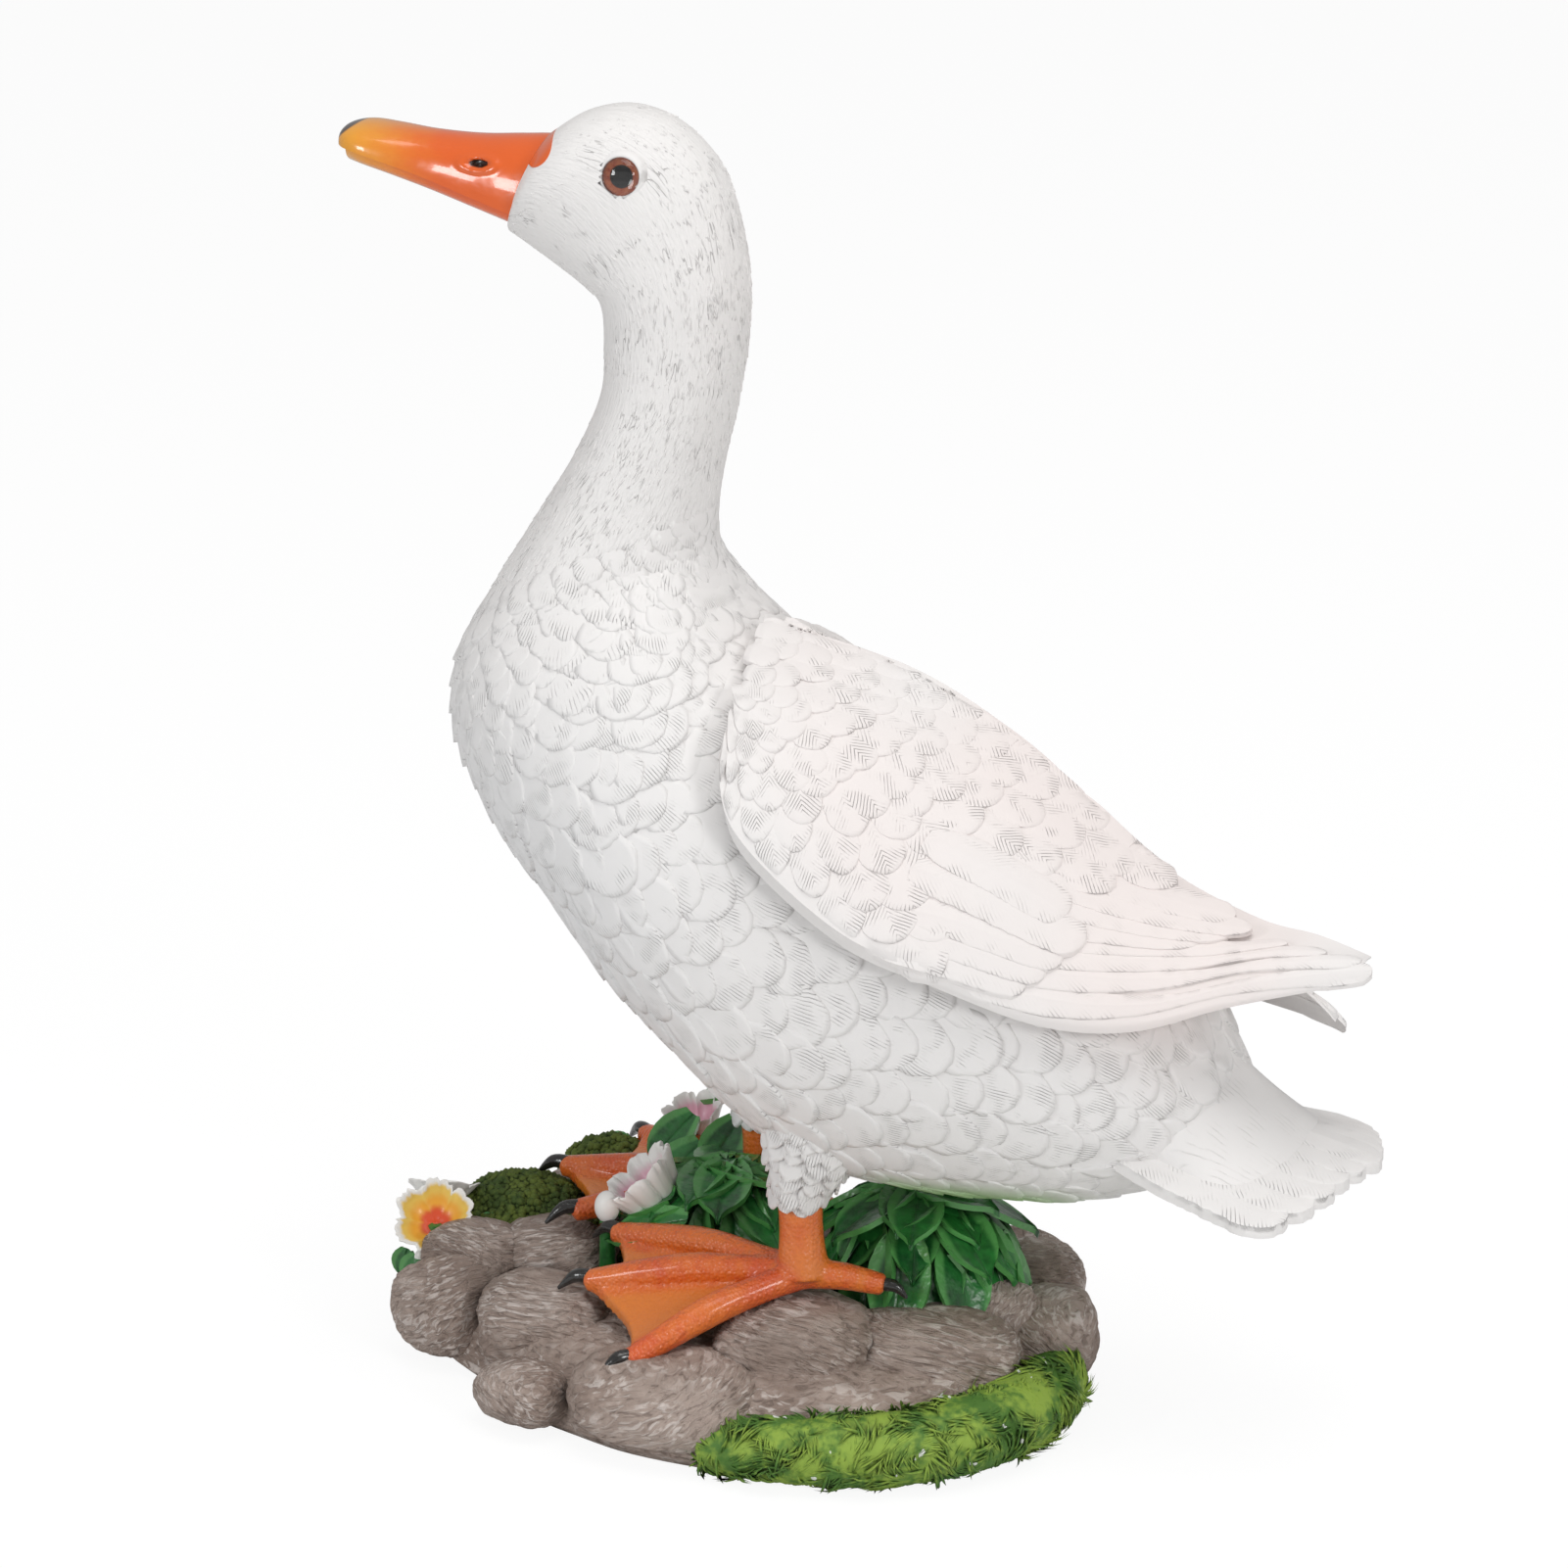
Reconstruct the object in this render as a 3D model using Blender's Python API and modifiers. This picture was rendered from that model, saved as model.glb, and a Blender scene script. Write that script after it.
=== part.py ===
"""A garden figurine: a white duck that stands on a rock base with leaves, moss, grass and flowers.

The figurine is one painted casting, with two domed glass eyes glued into sockets in the head.
The duck looks along -X, its left side is on -Y, and the base rests on z = 0.
All sizes below are millimetres; MM turns them into metres.
"""
import random
from math import cos, pi, radians, sin

import bmesh
import bpy
from mathutils import Matrix, Vector
from mathutils.bvhtree import BVHTree

MM = 0.001

# Stance and main widths
ROCK_TOP = 38.0
BODY_WIDTH = 126.0
NECK_WIDTH = 43.0
HEAD_WIDTH = 41.0
BELLY_FULLNESS = 0.08

# Side view of head, neck and trunk, heights above the rock top:
# (back x, back z, front x, front z, share of the width above)
HEAD_SECTIONS = (
    (-55.0, 314.0, -66.5, 287.0, 0.68),
    (-45.0, 320.0, -67.5, 285.5, 0.88),
    (-32.5, 322.0, -66.0, 284.5, 0.99),
    (-19.0, 317.5, -62.0, 282.0, 1.0),
    (-8.0, 306.5, -55.5, 278.0, 0.99),
    (-2.5, 291.0, -47.5, 273.0, 0.99),
)
NECK_SECTIONS = (
    (-0.3, 275.0, -41.3, 268.0, 0.96),
    (-0.7, 261.0, -40.2, 256.5, 0.96),
    (-2.6, 248.0, -41.2, 243.0, 1.0),
    (-5.3, 236.0, -48.8, 226.0, 1.12),
    (-8.3, 224.0, -60.0, 208.0, 1.27),
    (-10.5, 212.0, -73.6, 186.0, 1.5),
)
TRUNK_SECTIONS = (
    (-11.0, 203.0, -83.6, 165.0, 0.6),
    (-10.0, 198.0, -82.0, 144.0, 0.73),
    (-8.0, 193.5, -69.0, 121.0, 0.85),
    (-5.0, 189.0, -49.5, 99.0, 0.94),
    (-1.0, 185.0, -29.5, 76.0, 0.99),
    (5.0, 180.0, -9.5, 57.0, 1.0),
    (17.0, 176.5, 9.0, 41.0, 1.0),
    (38.0, 169.0, 28.0, 30.0, 0.98),
    (64.0, 155.0, 50.0, 26.5, 0.93),
    (93.0, 135.0, 75.0, 26.0, 0.83),
    (118.0, 109.0, 100.0, 28.0, 0.68),
    (134.0, 84.0, 120.0, 34.0, 0.5),
    (144.0, 63.0, 135.0, 45.0, 0.32),
)

# Share of the joined casting's facets that are kept, so that slivers go where forms meet
KEPT_FACETS = 0.56
CRUMB = 2.0

# Carved contour feathers on the trunk
FEATHERS_AROUND = 18
FIRST_ROW_PITCH = 10.5
LAST_ROW_PITCH = 18.0
FEATHER_RISE = 1.5
FEATHER_TIP_SHARE = 0.55
NECK_OVERLAP = 3.0

# Bill, in vertical sections: (share of its length, culmen height, lip height, share of its width)
BILL_LENGTH = 63.0
BILL_WIDTH = 27.0
BILL_SECTIONS = (
    (-0.14, 311.0, 287.5, 0.84),
    (0.0, 312.3, 288.5, 1.0),
    (0.16, 311.8, 291.0, 1.0),
    (0.36, 311.2, 295.5, 0.89),
    (0.57, 311.6, 300.5, 0.84),
    (0.75, 312.4, 303.2, 0.93),
    (0.88, 312.8, 304.4, 0.91),
    (0.96, 312.0, 305.0, 0.70),
)
BILL_TIP_HEIGHT = 308.0
JAW_SETBACK = 1.2
JAW_DEPTH = 4.4
NAIL_LENGTH = 9.0
NAIL_WIDTH = 9.0
NOSTRIL_SHARE = 0.30
NOSTRIL_DROP = 6.3
NOSTRIL_LENGTH = 8.0
NOSTRIL_WIDTH = 3.0
NOSTRIL_RISE = 0.9

# Glass eyes
EYE_DIAMETER = 10.0
EYE_DOME = 2.6
EYE_DEPTH = 3.4
EYE_CLEARANCE = 0.3
EYE_X = -28.0
EYE_HEIGHT = 306.0
LID_WIDTH = 1.7
LID_RISE = 1.0

# Wings: upper and lower edge, (x, height above the rock top, share of half the body width)
WING_UPPER = (
    (10.0, 184.5, 0.10),
    (50.0, 172.5, 0.06),
    (78.0, 157.5, 0.05),
    (99.0, 142.0, 0.05),
    (123.0, 124.0, 0.06),
    (148.0, 113.5, 0.07),
    (165.0, 110.5, 0.07),
    (181.0, 105.0, 0.05),
)
WING_LOWER = (
    (13.0, 160.0, 0.93),
    (20.0, 140.0, 1.02),
    (49.0, 117.0, 1.06),
    (76.0, 106.0, 1.01),
    (102.0, 95.0, 0.86),
    (124.0, 92.0, 0.68),
    (148.0, 97.0, 0.46),
    (183.0, 102.0, 0.15),
)
WING_BULGE = 11.0
SHOULDER_BULGE = 3.0
WING_BULGE_LOWNESS = 1.25
WING_THICKNESS = 9.0
WING_TIP_THICKNESS = 3.0
# The right wing lies tucked under the left one and its tip hangs lower
RIGHT_WING_DROOP = 25.0
RIGHT_WING_SAG = 9.0
COVERTS_ACROSS = 6
COVERT_ROWS = (0.07, 0.15, 0.23, 0.32, 0.42)
COVERT_TIP = 0.035
COVERT_RISE = 1.7
BLADE_CREST = 1.0
BLADE_THICKNESS = 3.0

# Long wing feathers from the lowest layer up: (root across, root along, tip across, tip along, width, lift)
WING_BLADES = (
    (0.97, 0.42, 0.80, 1.00, 13.0, 0.4),
    (0.84, 0.44, 0.50, 1.01, 13.0, 1.0),
    (0.72, 0.46, 0.25, 0.99, 13.0, 1.6),
    (0.92, 0.34, 0.90, 0.59, 13.0, 2.0),
    (0.80, 0.34, 0.79, 0.61, 13.0, 2.5),
    (0.68, 0.34, 0.66, 0.63, 13.0, 3.0),
    (0.52, 0.50, 0.20, 0.92, 15.0, 2.0),
    (0.38, 0.48, 0.12, 0.85, 15.0, 2.4),
    (0.22, 0.48, 0.10, 0.76, 15.0, 2.8),
    (0.56, 0.32, 0.52, 0.58, 15.0, 3.4),
    (0.42, 0.30, 0.38, 0.60, 15.0, 3.7),
    (0.26, 0.30, 0.22, 0.55, 15.0, 4.0),
    (0.11, 0.30, 0.09, 0.60, 14.0, 3.6),
)

# Tail fan
TAIL_FEATHERS = 9
TAIL_ROOT = (112.0, 53.0)
TAIL_ROOT_SPREAD = 52.0
TAIL_ROOT_CAMBER = 3.0
TAIL_MIDDLE_TIP = (181.0, 46.0)
TAIL_SIDE_TIP = (163.0, 41.5)
TAIL_SPREAD = 92.0
TAIL_FEATHER_WIDTH = 17.0
TAIL_THICKNESS = 6.0

# Legs and webbed feet
STANCE = 60.0
ANKLE_X = (27.0, -6.0)
ANKLE_HEIGHT = 4.5
HIP_HEIGHT = 60.0
HIP_SETBACK = 8.0
KNUCKLE_RISE = 2.6
HEEL_RISE = 1.6
SHANK_DIAMETER = 13.0
THIGH_WIDTH = 34.0
THIGH_DROP = 24.0
# (turn outward in degrees, length, drop of the tip) of the inner, middle and outer toe
LEFT_TOES = ((-17.0, 66.0, 3.0), (6.0, 62.0, 8.0), (40.0, 54.0, 19.0))
RIGHT_TOES = ((-33.0, 56.0, 2.0), (3.0, 64.0, 2.0), (36.0, 64.0, 2.0))
TOE_DIAMETER = 9.0
HIND_TOE_LENGTH = 20.0
WEB_THICKNESS = 3.2
CLAW_LENGTH = 7.0
CLAW_DIAMETER = 4.4

# Rock base, seen from above, and what grows on it
BASE_OUTLINE = (
    (-104, 6), (-98, -10), (-86, -30), (-66, -46), (-50, -62), (-30, -72), (-8, -80), (22, -83), (54, -80),
    (82, -66), (95, -38), (96, -4), (92, 28), (76, 52), (42, 66), (-4, 70), (-50, 66), (-90, 44),
)
BASE_HEIGHT = 27.0
UNDERSIDE_GAP = 0.8
STONE_FACETS = 2
# (x, y, middle height, half length, half depth, half height, turn in degrees)
STONES = (
    (-80, -8, 24, 15, 15, 12, -20),
    (-82, -22, 15, 17, 16, 14, -30),
    (-86, 22, 18, 18, 22, 15, 10),
    (-60, 2, 24, 18, 16, 12, 0),
    (-49, -32, 16, 20, 17, 15, -15),
    (-43, -63, 9, 15, 12, 8, -25),
    (0, -61, 11, 29, 23, 12, -8),
    (27, -34, 18, 24, 22, 17, 4),
    (61, -22, 17, 27, 20, 15, 10),
    (58, 6, 24, 26, 15, 12, -6),
    (84, 14, 15, 14, 20, 13, 4),
    (72, 42, 20, 14, 15, 12, 10),
    (54, 52, 15, 26, 15, 14, 12),
    (20, 54, 16, 26, 17, 15, -10),
    (-22, 54, 17, 28, 17, 16, 4),
    (-62, 50, 17, 26, 17, 16, -14),
    (-14, 24, 24, 34, 25, 14, 0),
)
MOSS = ((-79, 24, 26, 20, 20, 13), (-58, 12, 25, 16, 13, 9), (-66, 62, 27, 16, 11, 13))
GRASS_BANK = ((16, -76), (38, -77), (62, -71), (80, -57), (90, -38), (93, -18), (92, -2), (88, 12))
BANK_HEIGHT = 21.0
TUFTS = 20
TUFT_LENGTH = 7.0
TUFT_DIAMETER = 5.0
# Leaf bushes: (x, y, height, radius, leaves, leaf length, leaf width)
BUSHES = (
    (48, 12, 47, 25, 15, 32, 14),
    (-14, 12, 49, 20, 12, 30, 16),
)
# Flowers: (x, y, rim height, rim radius, petals, tilt in degrees, turn in degrees)
FLOWERS = (
    (-95, -3, 38, 11, 6, 50, 285),
    (-27, 3, 56, 12, 8, 40, 200),
    (-34, 46, 62, 8, 6, 15, 250),
)
STALK_DIAMETER = 5.0
STALK_FOOT = 8.0
BUDS = ((-40, -8, 46, 3.6), (-93, -14, 29, 3.2))


# Scene and object helpers

def clear_scene():
    """Remove whatever the start-up scene holds."""
    for item in list(bpy.data.objects):
        bpy.data.objects.remove(item, do_unlink=True)


def new_collection(name):
    made = bpy.data.collections.new(name)
    bpy.context.scene.collection.children.link(made)
    return made


def paint(name, colour, roughness, metallic=0.0):
    """A Principled material with one colour."""
    made = bpy.data.materials.new(name)
    made.use_nodes = True
    shader = made.node_tree.nodes["Principled BSDF"]
    shader.inputs["Base Color"].default_value = (*colour, 1.0)
    shader.inputs["Roughness"].default_value = roughness
    shader.inputs["Metallic"].default_value = metallic
    return made


def finish_mesh(name, mesh_data, group, material):
    """Close a bmesh into a smooth object made of triangles, with its faces pointing out."""
    bmesh.ops.triangulate(mesh_data, faces=mesh_data.faces[:])
    bmesh.ops.recalc_face_normals(mesh_data, faces=mesh_data.faces[:])
    mesh = bpy.data.meshes.new(name)
    mesh_data.to_mesh(mesh)
    mesh_data.free()
    mesh.materials.append(material)
    mesh.shade_smooth()
    mesh.set_sharp_from_angle(angle=radians(40.0))
    made = bpy.data.objects.new(name, mesh)
    group.objects.link(made)
    return made


def skin(name, rings, group, material):
    """Loft closed rings of equal length into one closed body; a ring of one point is a pole."""
    shell = bmesh.new()
    rows = [[shell.verts.new(point) for point in ring] for ring in rings]
    for near, far in zip(rows, rows[1:]):
        count = max(len(near), len(far))
        for j in range(count):
            k = (j + 1) % count
            corners = [near[j % len(near)], near[k % len(near)], far[k % len(far)], far[j % len(far)]]
            shell.faces.new(list(dict.fromkeys(corners)))
    for row in (rows[0], rows[-1]):
        if len(row) > 1:
            shell.faces.new(row)
    return finish_mesh(name, shell, group, material)


def spline(points, share):
    """The point at a share of the way, 0 to 1, along a smooth line through the given points."""
    place = min(max(share, 0.0), 1.0) * (len(points) - 1)
    i = min(int(place), len(points) - 2)
    f = place - i
    before, start, end, after = (
        points[max(i - 1, 0)], points[i], points[i + 1], points[min(i + 2, len(points) - 1)]
    )
    return tuple(
        0.5 * (2 * b + (c - a) * f + (2 * a - 5 * b + 4 * c - d) * f ** 2 + (3 * b - a - 3 * c + d) * f ** 3)
        for a, b, c, d in zip(before, start, end, after)
    )


def on_duck(x, y, height):
    """A place on the duck, its height counted from the rock top."""
    return Vector((x, y, height + ROCK_TOP)) * MM


def on_base(x, y, height):
    """A place on the base, its height counted from the ground."""
    return Vector((x, y, height)) * MM


# Head, neck and trunk

def all_sections():
    """Every section of the duck from the face to the rump, with its half width in millimetres."""
    listed = []
    for sections, width in (
        (HEAD_SECTIONS, HEAD_WIDTH), (NECK_SECTIONS, NECK_WIDTH), (TRUNK_SECTIONS, BODY_WIDTH)
    ):
        for back_x, back_z, front_x, front_z, share in sections:
            listed.append((back_x, back_z, front_x, front_z, share * width / 2))
    return listed


SECTIONS = all_sections()
NECK_END = (len(HEAD_SECTIONS) + len(NECK_SECTIONS) - 1) / (len(SECTIONS) - 1)


def duck_surface(around, along, lift=0.0):
    """A point of the skin: around runs from the back (0) down the left side, along from face to rump."""
    back_x, back_z, front_x, front_z, half_width = spline(SECTIONS, along)
    middle = Vector((back_x + front_x, 0.0, back_z + front_z)) / 2
    upright = Vector((back_x - front_x, 0.0, back_z - front_z)) / 2
    turn = 2 * pi * around
    fullness = 1.0 - BELLY_FULLNESS * cos(turn) * sin(turn) ** 2
    side = Vector((0.0, -half_width * fullness, 0.0))
    outward = (upright.normalized() * cos(turn) * half_width + Vector((0, -1, 0)) * sin(turn) * upright.length)
    place = middle + upright * cos(turn) + side * sin(turn) + outward.normalized() * lift
    return on_duck(*place)


def row_edges():
    """Where along the trunk each row of feathers ends, with a pitch that grows towards the rump."""
    steps = 240
    edges = []
    travelled = 0.0
    pitch = FIRST_ROW_PITCH
    start = duck_surface(0.3, NECK_END)
    for i in range(1, steps + 1):
        along = NECK_END + (1.0 - NECK_END) * i / steps
        end = duck_surface(0.3, along)
        travelled += (end - start).length / MM
        start = end
        if travelled >= pitch:
            travelled = 0.0
            edges.append(along)
            done = (along - NECK_END) / (1.0 - NECK_END)
            pitch = FIRST_ROW_PITCH + (LAST_ROW_PITCH - FIRST_ROW_PITCH) * min(1.0, 1.6 * done)
    return edges


def scallop(column, per_feather, shift):
    """How far a feather's rounded end reaches at this column, from 0 at the notch to 1 at the tip."""
    share = ((column + shift) % per_feather) / per_feather
    return 1.0 - (2.0 * share - 1.0) ** 2


def make_trunk(group, material):
    """The trunk, carved in rows of overlapping feathers that stand off their neighbours' roots."""
    per_feather = 3
    columns = round(FEATHERS_AROUND) * per_feather
    edges = row_edges()
    hidden = -NECK_OVERLAP
    rings = [[duck_surface(j / columns, NECK_END - 0.035, hidden) for j in range(columns)]]
    previous = NECK_END
    for row, edge in enumerate(edges):
        gap = edge - previous
        previous = edge
        outer, inner = [], []
        for j in range(columns):
            reach = (scallop(j, per_feather, row) - 1.0) * FEATHER_TIP_SHARE * gap
            local = (duck_surface(j / columns, edge) - duck_surface(j / columns, edge - gap)).length / MM
            rise = FEATHER_RISE * min(1.0, local / LAST_ROW_PITCH + 0.15)
            outer.append(duck_surface(j / columns, edge + reach, rise))
            inner.append(duck_surface(j / columns, edge + reach + 0.03 * gap, 0.0))
        rings += [outer, inner]
    rings.append([duck_surface(j / columns, 1.0, 0.0) for j in range(columns)])
    return skin("trunk", rings, group, material)


def make_head_and_neck(group, material):
    """The smooth head and neck, which end inside the trunk's first row of feathers."""
    columns = 20
    rows = 14
    rings = [[sum((duck_surface(j / columns, 0.0) for j in range(columns)), Vector()) / columns]]
    rings[0][0] += Vector((-2.0, 0.0, -1.0)) * MM
    for i in range(rows + 1):
        along = NECK_END * 1.01 * i / rows
        rings.append([duck_surface(j / columns, along, 0.4) for j in range(columns)])
    rings.append([duck_surface(j / columns, NECK_END + 0.05, -NECK_OVERLAP) for j in range(columns)])
    return skin("head_and_neck", rings, group, material)


# Bill

def bill_x(share):
    return HEAD_SECTIONS[0][0] - BILL_LENGTH * share


def make_upper_bill(group, material):
    """The upper bill: vertical sections with a rounded roof and a flat lip."""
    rings = []
    for share, culmen, lip, width in BILL_SECTIONS:
        half_width = BILL_WIDTH * width / 2
        ring = []
        for j in range(9):
            turn = pi * j / 8
            roof = sin(turn) ** 0.8
            ring.append(on_duck(bill_x(share), half_width * cos(turn), lip + (culmen - lip) * roof))
        ring.append(on_duck(bill_x(share), -half_width * 0.6, lip - 0.5))
        ring.append(on_duck(bill_x(share), half_width * 0.6, lip - 0.5))
        rings.append(ring)
    rings.append([on_duck(bill_x(1.0), 0.0, BILL_TIP_HEIGHT)])
    return skin("upper_bill", rings, group, material)


def make_lower_bill(group, material):
    """The lower bill, a shallow trough set back under the lip."""
    rings = []
    for share, culmen, lip, width in BILL_SECTIONS[:-1]:
        half_width = BILL_WIDTH * width / 2 - JAW_SETBACK
        ring = [on_duck(bill_x(share) + JAW_SETBACK, half_width * cos(pi * j / 6),
                        lip + 1.0 - (JAW_DEPTH + 1.0) * sin(pi * j / 6) ** 0.6) for j in range(7)]
        rings.append(ring)
    return skin("lower_bill", rings, group, material)


def ellipsoid(name, middle, radii, turn, group, material, facets=2, roughness=0.0, seed=0):
    """A rounded lump; roughness moves its points in and out by a share of the radius."""
    ball = bmesh.new()
    bmesh.ops.create_icosphere(ball, subdivisions=facets, radius=1.0)
    jitter = random.Random(seed)
    for vert in ball.verts:
        vert.co *= 1.0 + roughness * (jitter.random() - 0.5)
    stretch = Matrix.Diagonal((*(r * MM for r in radii), 1.0))
    ball.transform(Matrix.Translation(middle) @ turn.to_4x4() @ stretch)
    return finish_mesh(name, ball, group, material)


def make_bill_details(group, nail_paint, nostril_paint, upper_bill):
    """The dark nail at the tip and a raised nostril rim on each side."""
    tip = on_duck(bill_x(0.93), 0.0, (BILL_SECTIONS[-1][1] + BILL_TIP_HEIGHT) / 2)
    ellipsoid("nail", tip, (NAIL_LENGTH / 2, NAIL_WIDTH / 2, 3.2), Matrix.Rotation(radians(-8), 3, "Y"),
              group, nail_paint)
    culmen = [section[1] for section in BILL_SECTIONS if section[0] >= NOSTRIL_SHARE][0]
    for side in (-1, 1):
        x = bill_x(NOSTRIL_SHARE)
        target = on_duck(x, side * BILL_WIDTH * 0.22, culmen - NOSTRIL_DROP)
        spot = surface_hit(upper_bill, target + Vector((0, side * 2.0, 1.0)) * BILL_WIDTH * MM, target)
        ellipsoid("nostril", spot, (NOSTRIL_LENGTH / 2, NOSTRIL_WIDTH / 2, NOSTRIL_RISE),
                  Matrix.Rotation(radians(-side * 35), 3, "X"), group, nostril_paint, facets=1)


# Eyes

def tree_of(made):
    """A search tree of an object's finished mesh."""
    return BVHTree.FromPolygons([v.co for v in made.data.vertices], [p.vertices for p in made.data.polygons])


def surface_hit(made, start, target):
    """Where the straight line from start towards target first meets an object."""
    return tree_of(made).ray_cast(start, (target - start).normalized())[0]


def eye_profile(grown=0.0):
    """Half the section of the glass eye, from the top of its dome down: (radius, height)."""
    radius = EYE_DIAMETER / 2
    dome = [(radius * sin(a), EYE_DOME * cos(a)) for a in (0.0, 0.45, 0.85, 1.2)]
    back = [(radius, -0.2), (radius * 0.86, -EYE_DEPTH * 0.75), (0.0, -EYE_DEPTH)]
    if not grown:
        return dome + back
    return [(0.0, EYE_DOME + 6.0), (radius + grown, EYE_DOME + 6.0), (radius + grown, -0.2),
            (radius * 0.86 + grown, -EYE_DEPTH * 0.75 - grown), (0.0, -EYE_DEPTH - grown)]


def lid_profile():
    """Half the section of the raised ring round the socket: (radius, height)."""
    inner = EYE_DIAMETER / 2 - 0.6
    outer = EYE_DIAMETER / 2 + LID_WIDTH
    return [(0.0, LID_RISE), (inner, LID_RISE), (inner + LID_WIDTH * 0.7, LID_RISE * 0.9), (outer, -0.2),
            (outer - 0.6, -EYE_DEPTH - 1.5), (0.0, -EYE_DEPTH - 1.5)]


def turned(name, profile, place, group, material, steps=16):
    """A solid turned about its own Z with a Screw modifier, then made a plain mesh at its place."""
    outline = bmesh.new()
    verts = [outline.verts.new((r * MM, 0.0, z * MM)) for r, z in profile]
    for a, b in zip(verts, verts[1:]):
        outline.edges.new((a, b))
    mesh = bpy.data.meshes.new(name)
    outline.to_mesh(mesh)
    outline.free()
    made = bpy.data.objects.new(name, mesh)
    group.objects.link(made)
    spin = made.modifiers.new("turn", "SCREW")
    spin.steps = steps
    spin.render_steps = steps
    spin.use_merge_vertices = True
    spin.merge_threshold = 0.00001
    mesh.materials.append(material)
    bpy.context.view_layer.update()
    solid = bpy.data.meshes.new_from_object(made.evaluated_get(bpy.context.evaluated_depsgraph_get()))
    made.modifiers.clear()
    made.data = solid
    solid.transform(place)
    solid.shade_smooth()
    solid.set_sharp_from_angle(angle=radians(50.0))
    return made


def eye_place(side, head):
    """The frame of one eye, on the skin nearest to its stated place: its own Z looks out of the head."""
    beside = on_duck(EYE_X, side * HEAD_WIDTH / 2, EYE_HEIGHT)
    place, normal, _, _ = tree_of(head).find_nearest(beside)
    outward = (normal + Vector((0, side * 1.5, 0))).normalized()
    return Matrix.Translation(place - outward * 0.6 * MM) @ outward.to_track_quat("Z", "Y").to_matrix().to_4x4()


# Feathers made one by one

def blade(name, spine, normals, width, crest, depth, group, material):
    """A long feather or a leaf: a crested blade along its spine with a rounded, pointed end."""
    shape = ((0.0, 0.62), (0.3, 0.95), (0.62, 1.0), (0.86, 0.74))
    rings = []
    for share, spread in shape:
        middle = Vector(spline(spine, share))
        ahead = Vector(spline(spine, min(share + 0.05, 1.0))) - Vector(spline(spine, share - 0.05))
        up = Vector(spline(normals, share)).normalized()
        across = ahead.cross(up).normalized() * width * spread / 2 * MM
        under = up * depth * MM
        rings.append([middle - across, middle + up * crest * spread * MM, middle + across,
                      middle + across * 0.8 - under, middle - across * 0.8 - under])
    rings.append([spine[-1] - normals[-1] * depth * 0.3 * MM])
    return skin(name, rings, group, material)


# Wings

def wing_surface(side, across, along, lift=0.0):
    """A point of a folded wing: across from its upper to its lower edge, along from shoulder to tip."""
    upper_x, upper_z, upper_out = spline(WING_UPPER, along)
    lower_x, lower_z, lower_out = spline(WING_LOWER, along)
    half = BODY_WIDTH / 2
    upper = Vector((upper_x, upper_out * half, upper_z))
    lower = Vector((lower_x, lower_out * half, lower_z))
    chord = lower - upper
    outward = Vector((0.0, -chord.z, chord.y)).normalized()
    rounding = min(1.0, along / 0.22)
    bulge = (SHOULDER_BULGE + (WING_BULGE - SHOULDER_BULGE) * rounding) * (1.0 - 0.8 * along)
    bulge *= sin(pi * min(1.0, max(0.0, across)) ** WING_BULGE_LOWNESS) ** 0.85
    place = upper + chord * across + outward * (bulge + lift)
    if side < 0:
        return on_duck(place.x, -place.y, place.z)
    droop = RIGHT_WING_DROOP * along ** 3
    sag = RIGHT_WING_SAG * (1.0 - along ** 2) * min(1.0, 0.4 + 5.0 * along)
    return on_duck(place.x - 0.55 * droop, place.y + 0.3 * droop, place.z - droop - sag)


def wing_normal(side, across, along):
    ahead = wing_surface(side, across, min(along + 0.02, 1.0)) - wing_surface(side, across, along - 0.02)
    down = wing_surface(side, across + 0.02, along) - wing_surface(side, across - 0.02, along)
    return (down.cross(ahead) * side).normalized()


def make_wing(side, group, material):
    """One folded wing: a shell carved in rows of coverts, with the long feathers laid over it."""
    label = "left" if side < 0 else "right"
    per_feather = 3
    columns = round(COVERTS_ACROSS) * per_feather

    def ring(edge, reach, rise, inner_edge):
        depth = WING_THICKNESS + (WING_TIP_THICKNESS - WING_THICKNESS) * edge
        outer = [wing_surface(side, j / columns, edge + reach(j), rise) for j in range(columns + 1)]
        inner = [wing_surface(side, j / 4, inner_edge + reach(j * columns // 4), -depth) for j in range(4, -1, -1)]
        return outer + inner

    rings = [ring(0.0, lambda j: 0.0, -2.5, 0.012)]
    for row, edge in enumerate(COVERT_ROWS):
        def reach(j, shift=row):
            return (scallop(j, per_feather, shift) - 1.0) * COVERT_TIP
        rings.append(ring(edge, reach, COVERT_RISE, edge))
        rings.append(ring(edge, lambda j, r=reach: r(j) + 0.003, 0.2, edge + 0.01))
    for edge in (0.58, 0.78, 0.97):
        rings.append(ring(edge, lambda j: 0.0, 0.0, edge))
    skin(label + "_wing_shell", rings, group, material)

    for number, (from_across, from_along, to_across, to_along, width, lift) in enumerate(WING_BLADES):
        spine, normals = [], []
        for k in range(5):
            across = from_across + (to_across - from_across) * k / 4
            along = from_along + (to_along - from_along) * k / 4
            spine.append(wing_surface(side, across, along, lift * (0.35 + 0.65 * k / 4)))
            normals.append(wing_normal(side, across, along))
        blade("%s_wing_feather_%02d" % (label, number), spine, normals, width, BLADE_CREST,
              BLADE_THICKNESS + lift * 0.5, group, material)


# Tail

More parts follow.
